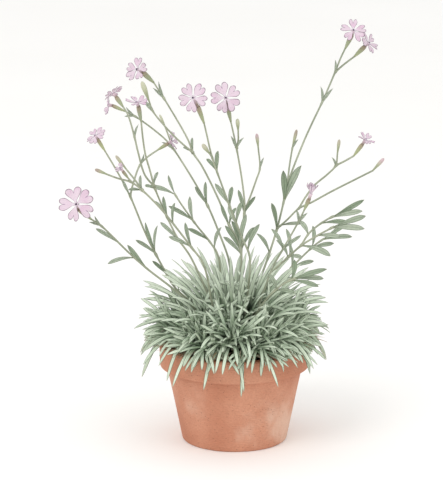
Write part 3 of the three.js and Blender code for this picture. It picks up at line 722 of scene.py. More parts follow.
class Finish:
    """A material in the making. ground gives its first colours, and each coat paints one more over them."""

    def __init__(self, name, roughness, shine=0.5):
        self.material = bpy.data.materials.new(name)
        self.material.use_nodes = True
        self.tree = self.material.node_tree
        self.shader = self.tree.nodes["Principled BSDF"]
        self.set(self.shader.inputs["Roughness"], roughness)
        self.set(self.shader.inputs["Specular IOR Level"], shine)

    def set(self, socket, value):
        if isinstance(value, Value):
            self.tree.links.new(value.socket, socket)
        else:
            socket.default_value = value

    def node(self, kind, settings, inputs, output=0):
        made = self.tree.nodes.new(kind)
        for setting, value in settings.items():
            setattr(made, setting, value)
        for key, value in inputs.items():
            self.set(made.inputs[key], value)
        return Value(self, made.outputs[output])

    def mark(self, name):
        return self.node("ShaderNodeAttribute", {"attribute_name": name}, {}, output=2)

    def place(self):
        return self.node("ShaderNodeTexCoord", {}, {}, "Object")

    def height(self):
        return self.node("ShaderNodeSeparateXYZ", {}, {0: self.place()}, output=2)

    def noise(self, scale, detail=3.0, squash=(1, 1, 1)):
        place = self.node("ShaderNodeMapping", {}, {"Vector": self.place(), "Scale": squash})
        return self.node("ShaderNodeTexNoise", {}, {"Vector": place, "Scale": scale, "Detail": detail})

    def cells(self, scale):
        return self.node("ShaderNodeTexVoronoi", {}, {"Vector": self.place(), "Scale": scale})

    def mix(self, share, first, second):
        first, second = (tint if isinstance(tint, Value) else linear(tint) for tint in (first, second))
        return self.node("ShaderNodeMix", {"data_type": "RGBA"}, {0: share, 6: first, 7: second}, output=2)

    def ground(self, share, first, second):
        self.tint = self.mix(share, first, second)

    def coat(self, share, tint):
        self.tint = self.mix(share, self.tint, tint)

    def relief(self, height, distance):
        bump = self.node("ShaderNodeBump", {}, {"Height": height, "Distance": distance})
        self.set(self.shader.inputs["Normal"], bump)

    def painted(self, roughness=None):
        self.set(self.shader.inputs["Base Color"], self.tint)
        if roughness is not None:
            self.set(self.shader.inputs["Roughness"], roughness)
        return self.material


def terracotta_finish():
    finish = Finish("terracotta", roughness=0.9)
    cloud, grain = finish.noise(28, 5), finish.noise(900, 4)
    finish.ground(cloud.between(0.3, 0.7), (186, 124, 96), (206, 148, 120))
    finish.coat(grain.between(0.35, 0.75) * 0.3, (162, 104, 80))
    bloom = finish.noise(45, 6, (1, 1, 0.6)).between(0.5, 0.72) * (1 - finish.height().between(0.012, 0.05))
    finish.coat(bloom * 0.55, (226, 200, 180))
    damp = finish.height().between(0.046, 0.06) * finish.noise(60, 4).between(0.42, 0.7)
    finish.coat(damp * 0.35, (140, 92, 66))
    specks = 1 - finish.cells(420).between(0.06, 0.16)
    finish.coat(specks * 0.5, (122, 70, 50))
    rings = (finish.height() * 5200 + cloud * 4).cosine()
    finish.relief(rings * 0.12 + grain * 0.5 - specks * 0.6 + cloud * 0.4, 0.4 * MM)
    return finish.painted(0.82 + 0.14 * grain)


def soil_finish():
    finish = Finish("potting_soil", roughness=0.95)
    crumb, patch = finish.noise(700, 6), finish.noise(90, 3)
    finish.ground(crumb.between(0.3, 0.7), (52, 40, 31), (104, 82, 62))
    finish.coat(patch.between(0.4, 0.7) * 0.4, (128, 108, 84))
    finish.relief(crumb + patch, 1.2 * MM)
    return finish.painted()


def blade_finish():
    """The mound's leaves: painted shade darkening them towards the root, painted highlights paling them
    towards the tip and over the mound's top, with a dark edge and a faint midrib.
    """
    finish = Finish("mound_blade", roughness=0.62, shine=0.3)
    along, side, tone = finish.mark("along"), abs(finish.mark("across")), finish.mark("tone")
    finish.ground(tone, (152, 176, 144), (222, 235, 212))
    # Painted shade: each blade darkens towards its root, standing in for the shade in the gaps between the
    # blades.
    finish.coat((1 - along.between(0.04, 0.56)) * 0.88, (54, 76, 50))
    # Painted highlight: each blade pales towards its tip, where the light falls most.
    finish.coat(along.between(0.4, 0.85) * 0.6, (226, 236, 216))
    finish.coat((1 - side.between(0.04, 0.2)) * 0.25, (116, 138, 108))
    finish.coat(side.between(0.6, 0.88) * 0.85, (76, 98, 72))
    finish.coat((1 - finish.mark("rim").between(-0.5, 0.2)) * 0.3, (150, 168, 142))
    finish.coat(along.between(0.965, 1.0) * 0.6, (160, 146, 118))
    streak = finish.noise(900, 3, (1, 1, 0.25))
    finish.coat(streak.between(0.4, 0.75) * 0.15, (124, 148, 116))
    # Painted highlight: the leaves are lighter high on the mound, where the light falls.
    finish.coat(finish.height().between(0.075, 0.112) * 0.4, (236, 243, 228))
    finish.relief((side * 16).cosine() * 0.3 + streak, 0.12 * MM)
    return finish.painted(0.55 + 0.2 * streak)


def core_finish():
    finish = Finish("mound_core", roughness=0.95)
    fibre = finish.noise(500, 5, (1, 1, 0.3))
    finish.ground(fibre.between(0.35, 0.7), (34, 46, 32), (74, 82, 56))
    finish.relief(fibre, 1.5 * MM)
    return finish.painted()


def dry_finish():
    finish = Finish("dry_leaf", roughness=0.85)
    finish.ground(finish.mark("tone"), (168, 146, 118), (222, 208, 186))
    finish.coat(finish.mark("along").between(0.7, 1.0) * 0.5, (138, 108, 84))
    streak = finish.noise(800, 3)
    finish.coat(streak.between(0.45, 0.7) * 0.35, (120, 98, 78))
    finish.relief(streak, 0.1 * MM)
    return finish.painted()


def stalk_finish():
    finish = Finish("stalk", roughness=0.55, shine=0.35)
    streak, patch = finish.noise(420, 3, (1, 1, 0.2)), finish.noise(60, 2)
    finish.ground(patch.between(0.35, 0.65), (150, 158, 136), (176, 182, 160))
    finish.coat(streak.between(0.4, 0.7) * 0.3, (124, 132, 112))
    finish.coat(finish.mark("tone") * 0.5, (160, 154, 120))
    # Painted shade: the stalk is darker in the grooves between its ribs.
    shaded_groove = 1 - finish.mark("rim").between(-0.9, 0.1)
    finish.coat(shaded_groove * 0.4, (112, 122, 100))
    finish.relief(streak - shaded_groove, 0.12 * MM)
    return finish.painted(0.5 + 0.15 * streak)


def leaf_finish():
    """The stem leaves: a darker midrib, fine side veins and a dark edge, and paler at the root and behind."""
    finish = Finish("stem_leaf", roughness=0.58, shine=0.3)
    along, side, tone = finish.mark("along"), abs(finish.mark("across")), finish.mark("tone")
    finish.ground(tone, (148, 164, 138), (190, 200, 180))
    veins = (side * 22).cosine().between(0.35, 1.0)
    finish.coat(veins * 0.22, (106, 126, 100))
    finish.coat((1 - side.between(0.03, 0.12)) * 0.45, (92, 116, 88))
    finish.coat(side.between(0.68, 0.92) * 0.75, (86, 106, 78))
    finish.coat((1 - along.between(0.0, 0.3)) * 0.5, (176, 184, 144))
    finish.coat(along.between(0.94, 1.0) * 0.5, (150, 140, 112))
    finish.coat((1 - finish.mark("rim").between(-0.5, 0.2)) * 0.35, (168, 184, 156))
    streak = finish.noise(600, 4)
    finish.coat(streak.between(0.45, 0.75) * 0.2, (124, 146, 114))
    finish.relief(streak * 0.5 - veins * 0.8 - (1 - side.between(0.0, 0.2)), 0.15 * MM)
    return finish.painted(0.5 + 0.2 * streak)


def calyx_finish():
    finish = Finish("calyx", roughness=0.6)
    along, rib, tone = finish.mark("along"), finish.mark("rim"), finish.mark("tone")
    finish.ground(tone, (166, 174, 128), (146, 158, 130))
    finish.coat(along.between(0.45, 1.0) * 0.75, (156, 137, 119))
    finish.coat(rib.between(0.2, 0.95) * 0.4, (120, 112, 88))
    finish.coat((1 - rib.between(-1.0, -0.3)) * 0.35, (194, 192, 160))
    streak = finish.noise(700, 3)
    finish.coat(streak.between(0.4, 0.7) * 0.2, (156, 140, 116))
    finish.relief(streak, 0.1 * MM)
    return finish.painted()


def bud_finish():
    """The tone is the bud's blush."""
    finish = Finish("bud", roughness=0.58)
    along, rib, tone = finish.mark("along"), finish.mark("rim"), finish.mark("tone")
    tip = finish.mix(tone.between(0.0, 0.5), (206, 206, 184), (160, 145, 131))
    tip = finish.mix(tone.between(0.5, 1.0), tip, (202, 176, 182))
    finish.ground(along.between(0.2, 0.7), (150, 157, 126), (178, 182, 150))
    finish.coat(along.between(0.4, 0.9) * (0.6 + 0.4 * tone.between(0.0, 0.4)), tip)
    finish.coat(rib.between(0.1, 1.0) * 0.35, (120, 130, 98))
    return finish.painted()


def petal_finish():
    """Blushed petals with a pale throat, dashes round it, fine veins and a thin dark edge."""
    finish = Finish("petal", roughness=0.55, shine=0.25)
    along, side, tone = finish.mark("along"), abs(finish.mark("across")), finish.mark("tone")
    blush = finish.noise(160, 3).between(0.4, 0.7) * (0.3 + 0.55 * tone)
    finish.ground(blush, (214, 197, 207), (208, 174, 196))
    veins = (side * 20).cosine().between(0.3, 1.0) * along.between(0.25, 0.6)
    finish.coat(veins * 0.14, (206, 168, 204))
    finish.coat((1 - along.between(0.08, 0.4)) * 0.7, (236, 228, 234))
    ring = along.between(0.12, 0.18) * (1 - along.between(0.26, 0.42))
    finish.coat((side * 13).cosine().between(0.55, 0.95) * ring * 0.5, (150, 140, 164))
    finish.coat(finish.mark("rim").between(0.05, 0.85) * 0.92, (126, 104, 122))
    notch = (1 - side.between(0.02, 0.12)) * along.between(0.6, 0.68)
    finish.coat(notch * 0.6, (132, 96, 136))
    finish.relief(veins * -0.4 + finish.noise(900, 3) * 0.5, 0.12 * MM)
    return finish.painted()


def claw_finish():
    """The petals' claws: brownish where they leave the calyx, pink at the throat."""
    finish = Finish("petal_claw", roughness=0.6)
    finish.ground(finish.mark("along").between(0.45, 0.95), (144, 126, 114), (212, 190, 200))
    return finish.painted()


def plain_finish(name, first, second):
    finish = Finish(name, roughness=0.7)
    grain = finish.noise(600, 3)
    finish.ground(grain.between(0.3, 0.7), first, second)
    finish.relief(grain, 0.1 * MM)
    return finish.painted()


# The pot and the soil
def inner_radius_at(height):
    low = FOOT_RADIUS - WALL
    high = RIM_RADIUS - BAND_STEP - WALL
    return low + (high - low) * height / POT_HEIGHT


def spun(profile, steps):
    """A profile of (radius, height) turned round the pot's axis, closed where it meets the axis."""
    shape = bmesh.new()
    points = [shape.verts.new((radius, 0, height)) for radius, height in profile]
    edges = [shape.edges.new(pair) for pair in zip(points, points[1:])]
    full_turn = {"angle": 2 * math.pi, "steps": steps, "use_merge": True}
    bmesh.ops.spin(shape, geom=points + edges, cent=(0, 0, 0), axis=(0, 0, 1), **full_turn)
    bmesh.ops.remove_doubles(shape, verts=shape.verts, dist=SAME_PLACE)
    bmesh.ops.recalc_face_normals(shape, faces=shape.faces)
    return shape


def rounded(profile, segments=4):
    """A profile of (radius, height), from one of (radius, height, rounding of the corner there)."""
    points = []
    for i, (radius, height, rounding) in enumerate(profile):
        if not rounding:
            points.append((radius, height))
            continue
        here, before, after = (Vector(profile[k][:2]) for k in (i, i - 1, i + 1))
        start = here + (before - here).normalized() * rounding
        end = here + (after - here).normalized() * rounding
        for k in range(segments + 1):
            t = k / segments
            points.append(tuple((1 - t) ** 2 * start + 2 * t * (1 - t) * here + t * t * end))
    return points


def cut_from(piece, tool_shape):
    mesh = bpy.data.meshes.new("cutter")
    tool_shape.to_mesh(mesh)
    tool_shape.free()
    cutter = bpy.data.objects.new("cutter", mesh)
    bpy.context.scene.collection.objects.link(cutter)
    modifier = piece.modifiers.new("cut", "BOOLEAN")
    modifier.object = cutter
    modifier.operation = "DIFFERENCE"
    whole = piece.evaluated_get(bpy.context.evaluated_depsgraph_get())
    cut = bpy.data.meshes.new_from_object(whole)
    piece.modifiers.remove(modifier)
    piece.data = cut
    bpy.data.objects.remove(cutter)


def make_pot(terracotta):
    band_bottom = POT_HEIGHT - BAND_HEIGHT
    profile = [
        (0, 0.6 * MM, 0),
        (FOOT_RADIUS - 4 * MM, 0, 0),
        (FOOT_RADIUS, 0, 1.2 * MM),
        (inner_radius_at(band_bottom) + WALL, band_bottom, 0.5 * MM),
        (RIM_RADIUS - 0.4 * MM, band_bottom + 0.4 * MM, 1.1 * MM),
        (RIM_RADIUS, POT_HEIGHT, 1.8 * MM),
        (inner_radius_at(POT_HEIGHT), POT_HEIGHT, 1.3 * MM),
        (inner_radius_at(FLOOR), FLOOR, 2.5 * MM),
        (0, FLOOR, 0),
    ]
    shape = spun(rounded(profile), POT_STEPS)
    long_edges = [edge for edge in shape.edges if edge.calc_length() > 7 * MM]
    bmesh.ops.subdivide_edges(shape, edges=long_edges, cuts=5, use_grid_fill=True)
    for vert in shape.verts:
        if vert.co.xy.length > 20 * MM:
            wobble = noise.noise(vert.co * 60) * 0.12 * MM
            vert.co += Vector((vert.co.x, vert.co.y, 0)).normalized() * wobble
    pot = make_piece("terracotta_pot", shape, [terracotta], "pot")
    for i in range(DRAIN_COUNT):
        place = level(2 * math.pi * i / DRAIN_COUNT + FIRST_DRAIN_TURN) * DRAIN_OFFSET + upward(FLOOR / 2)
        drain = bmesh.new()
        size = {"radius1": DRAIN_RADIUS, "radius2": DRAIN_RADIUS, "depth": FLOOR * 3, "segments": DRAIN_STEPS}
        bmesh.ops.create_cone(drain, cap_ends=True, matrix=Matrix.Translation(place), **size)
        cut_from(pot, drain)


def make_soil(soil):
    """The compost, with an uneven top round a hole for the root neck, and loose crumbs on it."""
    low, shoulder = FLOOR + GAP, SOIL_TOP - 1.5 * MM
    hole, hole_floor = NECK_RADIUS + GAP, SOIL_TOP - NECK_DEPTH - GAP
    reach = inner_radius_at(SOIL_TOP) - GAP
    profile = [
        (0, low),
        (inner_radius_at(low) - GAP, low),
        (inner_radius_at(shoulder) - GAP, shoulder),
        (NECK_RADIUS * 2.2, SOIL_TOP),
        (hole, SOIL_TOP),
        (hole, hole_floor),
        (0, hole_floor),
    ]
    shape = spun(profile, SOIL_STEPS)
    high = [edge for edge in shape.edges if min(vert.co.z for vert in edge.verts) > SOIL_TOP - 2 * MM]
    top = [edge for edge in high if edge.calc_length() > 3 * MM]
    bmesh.ops.subdivide_edges(shape, edges=top, cuts=9, use_grid_fill=True)
    for vert in shape.verts:
        on_top = vert.co.z > SOIL_TOP - 1.6 * MM and NECK_RADIUS * 1.3 < vert.co.xy.length < reach - 0.4 * MM
        if on_top:
            vert.co.z += (noise.noise(vert.co * 130) * 0.8 + noise.noise(vert.co * 420) * 0.5) * MM
    make_piece("potting_soil", shape, [soil], "soil")
    draw = random.Random(41)
    crumbs = bmesh.new()
    for _ in range(CRUMB_COUNT):
        out = math.sqrt(draw.uniform(0.2, 1)) * (reach - 1.5 * MM)
        turn = draw.uniform(0, 2 * math.pi)
        size = draw.uniform(0.35, 1.3) * MM
        centre = Vector((out * math.cos(turn), out * math.sin(turn), SOIL_TOP + size * 0.1 - 0.5 * MM))
        squash = Matrix.Diagonal((draw.uniform(0.8, 1.5), 1, draw.uniform(0.6, 0.9), 1))
        place = Matrix.Translation(centre) @ (Matrix.Rotation(draw.uniform(0, math.pi), 4, "Z") @ squash)
        bmesh.ops.create_icosphere(crumbs, subdivisions=1, radius=size, matrix=place)
    make_piece("soil_crumbs", crumbs, [soil])


# Stems
STALK, LEAF, CALYX, BUD = range(4)

# Down the calyx, place along it and share of its radius: the outside, and then the inside of the cup
CALYX_OUTSIDE = [
    (0, 0), (0, 0.42), (0.12, 0.5), (0.25, 0.66), (0.45, 0.84), (0.65, 0.95), (0.8, 1.0), (0.92, 0.98),
]
CALYX_PROFILE = np.array(CALYX_OUTSIDE + [(1.0, 0.94), (1.0, 0.82), (0.9, 0.76), (0.7, 0.72), (0.7, 0)])


def nearest_place(stalks, across, up):
    """The place on the stalks nearest to where the viewer sees a leaf's root, and the stalk's way there."""
    nearest = (math.inf, None, None)
    for stalk in stalks:
        points = stalk["points"]
        for start, end in zip(points, points[1:]):
            for t in np.arange(0, 1, 0.04):
                root = start.lerp(end, t)
                miss = (root - seen(across, up, root.y / MM)).length
                if miss < nearest[0]:
                    nearest = (miss, root, (end - start).normalized())
    return nearest[1:]


def leaf_on(stalks, place, tip, width):
    """A leaf that leaves its stalk along it, and then bends out to its tip."""
    root, stalkwise = nearest_place(stalks, *place)
    end = seen(tip[0], tip[1], root.y / MM + tip[2])
    outward = end - root
    leaving = (stalkwise + outward.normalized() * 1.6).normalized()
    middle = root + leaving * outward.length * 0.5
    face = Vector((0, -0.8, 0)) + stalkwise * 0.45
    return dict(curve=arc(root, end, middle), face=face, width=width * MM)


def prepare(stem):
    """Works out the lines of a stem's stalks and leaves."""
    for stalk in stem["stalks"]:
        stalk["points"] = [seen(*point) for point in stalk["line"]]
        stalk["curve"] = through(stalk["points"])
    for kind in ("leaves", "bracts"):
        stem[kind] = [leaf_on(stem["stalks"], *leaf) for leaf in stem[kind]]
    return stem


def size_of(bloom):
    return 0.8 if bloom["radius"] * MM < SMALL_FLOWER else 1.0


def stalk_radius(curve, foot, nodes):
    """A stalk thins towards its tip, and swells where leaves and branches leave it."""

    def radius_at(place):
        radius, centres = foot + (STALK_TIP - foot) * place, curve.at(place)
        for node in nodes:
            near = np.linalg.norm(centres - node, axis=-1)
            radius = radius + NODE_SWELLING * np.exp(-((near / NODE_LENGTH) ** 2))
        return radius

    return radius_at


def calyx_lay(foot, mouth, size, girth, tone):
    """A ribbed calyx, widening to a mouth with teeth and a hollow in which the petals' claws stand."""
    line = straight(foot, mouth)
    edge = len(CALYX_OUTSIDE)

    def lay(share, row, rows):
        place, radius = CALYX_PROFILE[row.astype(int)].T
        turn = 2 * np.pi * share
        along = line.along(place)
        is_tooth = (row == edge) | (row == edge + 1)
        tooth = is_tooth * (0.5 + 0.5 * np.cos(CALYX_TEETH * turn)) ** 1.5 * TOOTH_LENGTH * size
        rib = 1 + CALYX_RIB_DEPTH * np.cos(CALYX_RIBS * turn) * (row <= edge)
        reach = radius * CALYX_RADIUS * size * girth * rib * (1 - 0.16 * tooth / MM)
        places = line.at(place) + around(along, turn) * reach[:, None] + along * tooth[:, None]
        return places, {"along": place, "across": share, "tone": tone, "rim": np.cos(CALYX_RIBS * turn)}

    return lay


def bud_radius(girth):
    """A bud widens slowly from its base, like a club, and closes in a blunt tip."""
    thin = STALK_TIP * 0.9

    def radius_at(place):
        body = thin + (BUD_RADIUS * girth - thin) * smooth(place, 0.0, 0.7)
        return body * np.sqrt(np.maximum(1 - np.clip((place - 0.66) / 0.34, 0, 1) ** 2.4, 0)) + 0.02 * MM

    return radius_at


def make_stem(stem, finishes, draw):
    skins = Skins()
    nodes = [np.array(leaf["curve"].at(0.0)) for leaf in stem["leaves"] + stem["bracts"]]
    nodes += [np.array(branch["points"][0]) for branch in stem["stalks"][1:]]
    for order, stalk in enumerate(stem["stalks"]):
        curve, end = stalk["curve"], stalk["points"][-1]
        radius_at = stalk_radius(curve, BRANCH_FOOT if order else STALK_FOOT, nodes)
        grid = STALK_COLUMNS, STALK_ROWS * (len(stalk["line"]) - 1) + 2
        skins.add(grid, tube(curve, radius_at, draw.random() * 0.4, ribs=4, rib_depth=0.05), STALK)
        before = end - Vector(curve.along(1.0)) * 0.4 * MM
        if "calyx" in stalk:
            mouth, size = seen(*stalk["calyx"]), size_of(stalk["bloom"])
            grid = CALYX_COLUMNS, len(CALYX_PROFILE) - 1
            skins.add(grid, calyx_lay(before, mouth, size, stalk["girth"], draw.random()), CALYX)
        if "bud" in stalk:
            line, radius_at = straight(before, seen(*stalk["bud"])), bud_radius(stalk["girth"])
            skin = tube(line, radius_at, stalk["blush"], pointed=True, ribs=10, rib_depth=0.04)
            skins.add(BUD_GRID, skin, BUD)
    neck, share = (0.2, 0.84) if stem["name"].startswith("leafy") else (0.26, 0.92)
    for leaf in stem["leaves"]:
        look = leaf_look(draw, (0.25, 0.5), 0.5)
        fullness = leaf_outline(neck, draw.uniform(0.58, 0.68), 3.4)
        width = leaf["width"] * share
        skin = blade(leaf["curve"], width, LEAF_THICKNESS, leaf["face"], fullness, wave=0.08, **look)
        skins.add(STEM_LEAF_GRID, skin, LEAF)
    for bract in stem["bracts"]:
        look = dict(fold=0.35, tone=0.8 + 0.2 * draw.random())
        fullness = leaf_outline(0.5, 0.35)
        skin = blade(bract["curve"], bract["width"], LEAF_THICKNESS, bract["face"], fullness, **look)
        skins.add(BRACT_GRID, skin, LEAF)
    piece_name = stem["name"].replace("flower_stem", "flowering_stalk").replace("leafy_shoot", "leafy_stalk")
    make_piece(piece_name, skins.shape, finishes, stem["name"])


# Blooms
PETAL, CLAW, THROAT_EYE, THROAT_SCALE = range(4)


def petal_lay(bloom, centre, axes, turn, draw):
    """One petal: narrow at the throat, widening to two rounded lobes with a notch between them."""
    radius = bloom["radius"] * MM
    is_large = radius > LARGE_FLOWER
    opening = math.radians(bloom["spread"])
    across_axis, up_axis, facing = axes
    outward = across_axis * math.cos(turn) + up_axis * math.sin(turn)
    sideways = up_axis * math.cos(turn) - across_axis * math.sin(turn)
    tone = draw.random() * (1 if radius > SMALL_FLOWER else 0.2)
    length = draw.uniform(0.93, 1.03)
    roll = draw.uniform(-0.45, 0.45)
    notch_depth = draw.uniform(0.3, 0.38) * (1 if is_large else 1.15)
    lobe_curl = [draw.uniform(-0.06, 0.14), draw.uniform(-0.06, 0.14)]
    phase = draw.uniform(0, 6)
    cup = draw.uniform(0.02, 0.12)
    breadth = draw.uniform(0.31, 0.44) * (1 if is_large else 0.8)
    edge = 1 if radius > 7 * MM else 0.7

    def lay(share, row, rows):
        side = (1 - np.cos(np.pi * np.abs(2 * share - 1))) / 2
        across = side * np.sign(share - 0.5)
        place = row / rows
        from_lobe = np.abs(side - LOBE) / np.where(side < LOBE, LOBE, 1 - LOBE)
        tip = 1 - notch_depth * (1 - np.sqrt(1 - np.minimum(from_lobe, 1) ** 2.2))
        out = THROAT + (tip * length - THROAT) * place
        half = 0.05 + breadth * smooth(out, 0.08, 0.76)
        aside = across * half
        curl = np.where(across < 0, *lobe_curl) * smooth(side, 0.1, 0.6) * smooth(out, 0.55, 1.0)
        ripple = 0.018 * np.sin(across * 7 + phase) * smooth(out, 0.3, 0.9)
        lift = ripple + curl + cup * across**2 * half - 0.1 * np.clip(1 - out / 0.17, 0, 1) ** 2
        lean = roll * smooth(out, 0.15, 0.8)
        lift, aside = lift + aside * np.sin(lean), aside * np.cos(lean)
        distance = np.hypot(out, aside)
        flat = np.outer(out, outward) + np.outer(aside, sideways)
        rise = distance * math.cos(opening) - 0.12 * distance**2 * math.sin(opening)
        raised = np.outer(rise + lift * math.sin(opening), facing)
        raised -= np.outer(lift * math.cos(opening), outward)
        rim = np.maximum(smooth(side, 0.82, 1.0), smooth(place, 0.9, 1.0)) * edge
        places = centre + radius * (flat * math.sin(opening) + raised)
        return places, {"along": out, "across": across, "tone": tone, "rim": rim}

    return lay


def anther_radius(place):
    return 0.2 * MM * np.sin(np.pi * place) + 0.05 * MM


def make_bloom(stalk, name, node, finishes, draw):
    """Petals on a claw that stands in the calyx, with scales and anthers in their throat."""
    bloom = stalk["bloom"]
    size = size_of(bloom)
    radius = bloom["radius"] * MM
    foot, mouth = stalk["points"][-1], seen(*stalk["calyx"])
    centre = seen(*bloom["face"])
    along = (mouth - foot).normalized()
    facing = Vector(bloom["facing"]).normalized()
    across_axis = upward(1).cross(facing).normalized()
    axes = [np.array(axis) for axis in (across_axis, facing.cross(across_axis), facing)]

    def outwards(turn):
        turn += math.radians(bloom["spin"])
        return Vector(axes[0]) * math.cos(turn) + Vector(axes[1]) * math.sin(turn)

    def claw_radius(place):
        return CLAW_RADIUS * (1.35 + 0.5 * smooth(place, 0.5, 1.0)) * size

    def eye_radius(place):
        return np.full(place.shape, 0.45 * MM * size)

    petals = Skins()
    for i in range(PETAL_COUNT):
        turn = math.radians(bloom["spin"] + 360 / PETAL_COUNT * i) + draw.uniform(-0.11, 0.11)
        petals.add(PETAL_GRID, petal_lay(bloom, np.array(centre), axes, turn, draw), PETAL)
    bmesh.ops.recalc_face_normals(petals.shape, faces=petals.shape.faces)
    bmesh.ops.solidify(petals.shape, geom=petals.shape.faces[:], thickness=PETAL_THICKNESS)

    bottom = mouth + along * (GAP - CUP_DEPTH * size)
    throat = centre + facing * 0.16 * radius * math.cos(math.radians(bloom["spread"]))
    claw = through([bottom, mouth, throat - facing * 0.3 * MM])
    petals.add(CLAW_GRID, tube(claw, claw_radius, ribs=5, rib_depth=0.08), CLAW)
    eye = straight(throat - facing * 0.6 * MM, throat + facing * 0.05 * MM)
    petals.add(EYE_GRID, tube(eye, eye_radius), THROAT_EYE)
    for i in range(SCALE_COUNT):
        outward = outwards(2 * math.pi * (i + 0.5) / SCALE_COUNT)
        root = throat + outward * THROAT * radius
        tip = throat + outward * 0.125 * radius + facing * 0.75 * MM * size
        line = arc(root, tip, root + facing * 0.6 * MM)
        scale = blade(line, 0.5 * MM * size, 0.12 * MM, outward, leaf_outline(0.7, 0.6), fold=0.1)
        petals.add(SPECK_GRID, scale, THROAT_SCALE)
    for i in range(ANTHER_COUNT):
        outward = outwards(2 * math.pi * i / ANTHER_COUNT + math.radians(20))
        tip = throat + outward * 0.04 * radius + facing * (0.5 + 0.5 * draw.random()) * MM
        petals.add(SPECK_GRID, tube(straight(tip - facing * 0.5 * MM, tip), anther_radius), THROAT_EYE)
    make_piece(name, petals.shape, finishes, node)


# The mound
GREEN, CORE = range(2)
MOUND_LEAF = leaf_outline(0.45, 0.62, 5.0)
DRY_LEAF = leaf_outline(0.7, 0.4)


class Draws:
    """Seeded random numbers from 0 to 1."""

    def __init__(self, seed):
        self.state = seed

    def __call__(self):
        limit = 0xFFFFFFFF
        self.state = (self.state + 0x6D2B79F5) & limit
        mixed = ((self.state ^ (self.state >> 15)) * (1 | self.state)) & limit
        mixed = ((mixed + (((mixed ^ (mixed >> 7)) * (61 | mixed)) & limit)) ^ mixed) & limit
        return (mixed ^ (mixed >> 14)) / 4294967296


class Clearance:
    """Tells whether a blade clears the pot, the soil and the stems that grow through the mound."""

    def __init__(self, stems):
        balls = []
        for stem in stems:
            for stalk in stem["stalks"]:
                balls += [(place, STALK_FOOT) for place in self.places(stalk["curve"])]
            for leaf in stem["leaves"]:
                balls += [(place, leaf["width"] / 2) for place in self.places(leaf["curve"])]
        balls = [ball for ball in balls if ball[0][2] < SOIL_TOP + MOUND_HEIGHT + 10 * MM]
        self.radii = [radius for _, radius in balls]
        self.widest = max(self.radii)
        self.tree = KDTree(len(balls))
        for i, (place, _) in enumerate(balls):
            self.tree.insert(place, i)
        self.tree.balance()

    @staticmethod
    def places(curve):
        count = math.ceil(curve.length / (1.5 * MM))
        return curve.at(np.arange(count + 1) / count)

    @staticmethod
    def is_off_pot(place):
        margin = BLADE_THICKNESS + 0.5 * MM
        out = math.hypot(place[0], place[1])
        if out < inner_radius_at(POT_HEIGHT) - margin:
            return place[2] > SOIL_TOP + margin
        if out < RIM_RADIUS + margin:
            return place[2] > POT_HEIGHT + margin
        return True

    def is_clear(self, curve, skipped, half_width=BLADE_WIDTH / 2):
        """Whether the curve is clear all along, but for its first places, which lie in the core."""
        for place in self.places(curve)[skipped:]:
            if not self.is_off_pot(place):
                return False
            for _, i, distance in self.tree.find_range(place, half_width + self.widest + STEM_CLEARANCE):
                if distance <= half_width + self.radii[i] + STEM_CLEARANCE:
                    return False
        return True


def shown(face, outward, amount):
    """A leaf's face, turned to the front of the plant, or to the back for a leaf behind its middle."""
    return (face + Vector((0, -amount if outward.y < 0.3 else amount, 0))).normalized()


def mound_blade(index, random_share):
    """One of the mound's main blades, arching out of the core. The lowest hang over the pot's rim."""
    share = (index + 0.5) / BLADE_COUNT
    lean = math.acos(1 - share * (1 - math.cos(LOWEST_LEAN))) + (random_share() - 0.5) * 0.12
    outward = level(index * GOLDEN_TURN + (random_share() - 0.5) * 0.16)
    side = math.sin(min(lean, math.pi / 2))
    rise = math.cos(min(lean, math.pi / 2))
    shoulder = (side**MOUND_SHOULDERS + rise**MOUND_SHOULDERS) ** (-1 / MOUND_SHOULDERS)
    reach = (0.84 + 0.2 * random_share()) * shoulder

    def at(out, up):
        return outward * out + upward(SOIL_TOP + up)

    low = float(smooth(lean, 1.2, 1.7))
    root = at(CORE_RADIUS * 0.8 * math.sin(0.76 * lean), CORE_HEIGHT * 0.8 * math.cos(0.76 * lean) + 2 * MM)
    lift = 6 * MM * side * (1 - low) - TIP_DROOP * low * random_share()
    tip = at(MOUND_REACH * reach * side, MOUND_HEIGHT * reach * math.cos(lean) + lift)
    tip += beside(outward) * (random_share() - 0.5) * 12 * MM
    middle = root.lerp(tip, 0.55)
    middle.z += 3 * MM + 9 * MM * side * (0.6 + 0.6 * random_share())
    middle += outward * -2 * MM * math.cos(lean)
    middle = middle.lerp(at(RIM_RADIUS - 3 * MM, 24 * MM + 10 * MM * random_share()), low)
    return arc(root, tip, middle), shown(outward * -0.4 + upward(1), outward, 0.8 + 0.8 * rise)


def main_blades(clearance):
    random_share = Draws(20)
    for index in range(BLADE_COUNT):
        for _ in range(BLADE_TRIES):
            curve, face = mound_blade(index, random_share)
            if clearance.is_clear(curve, skipped=4):
                yield curve, face
                break


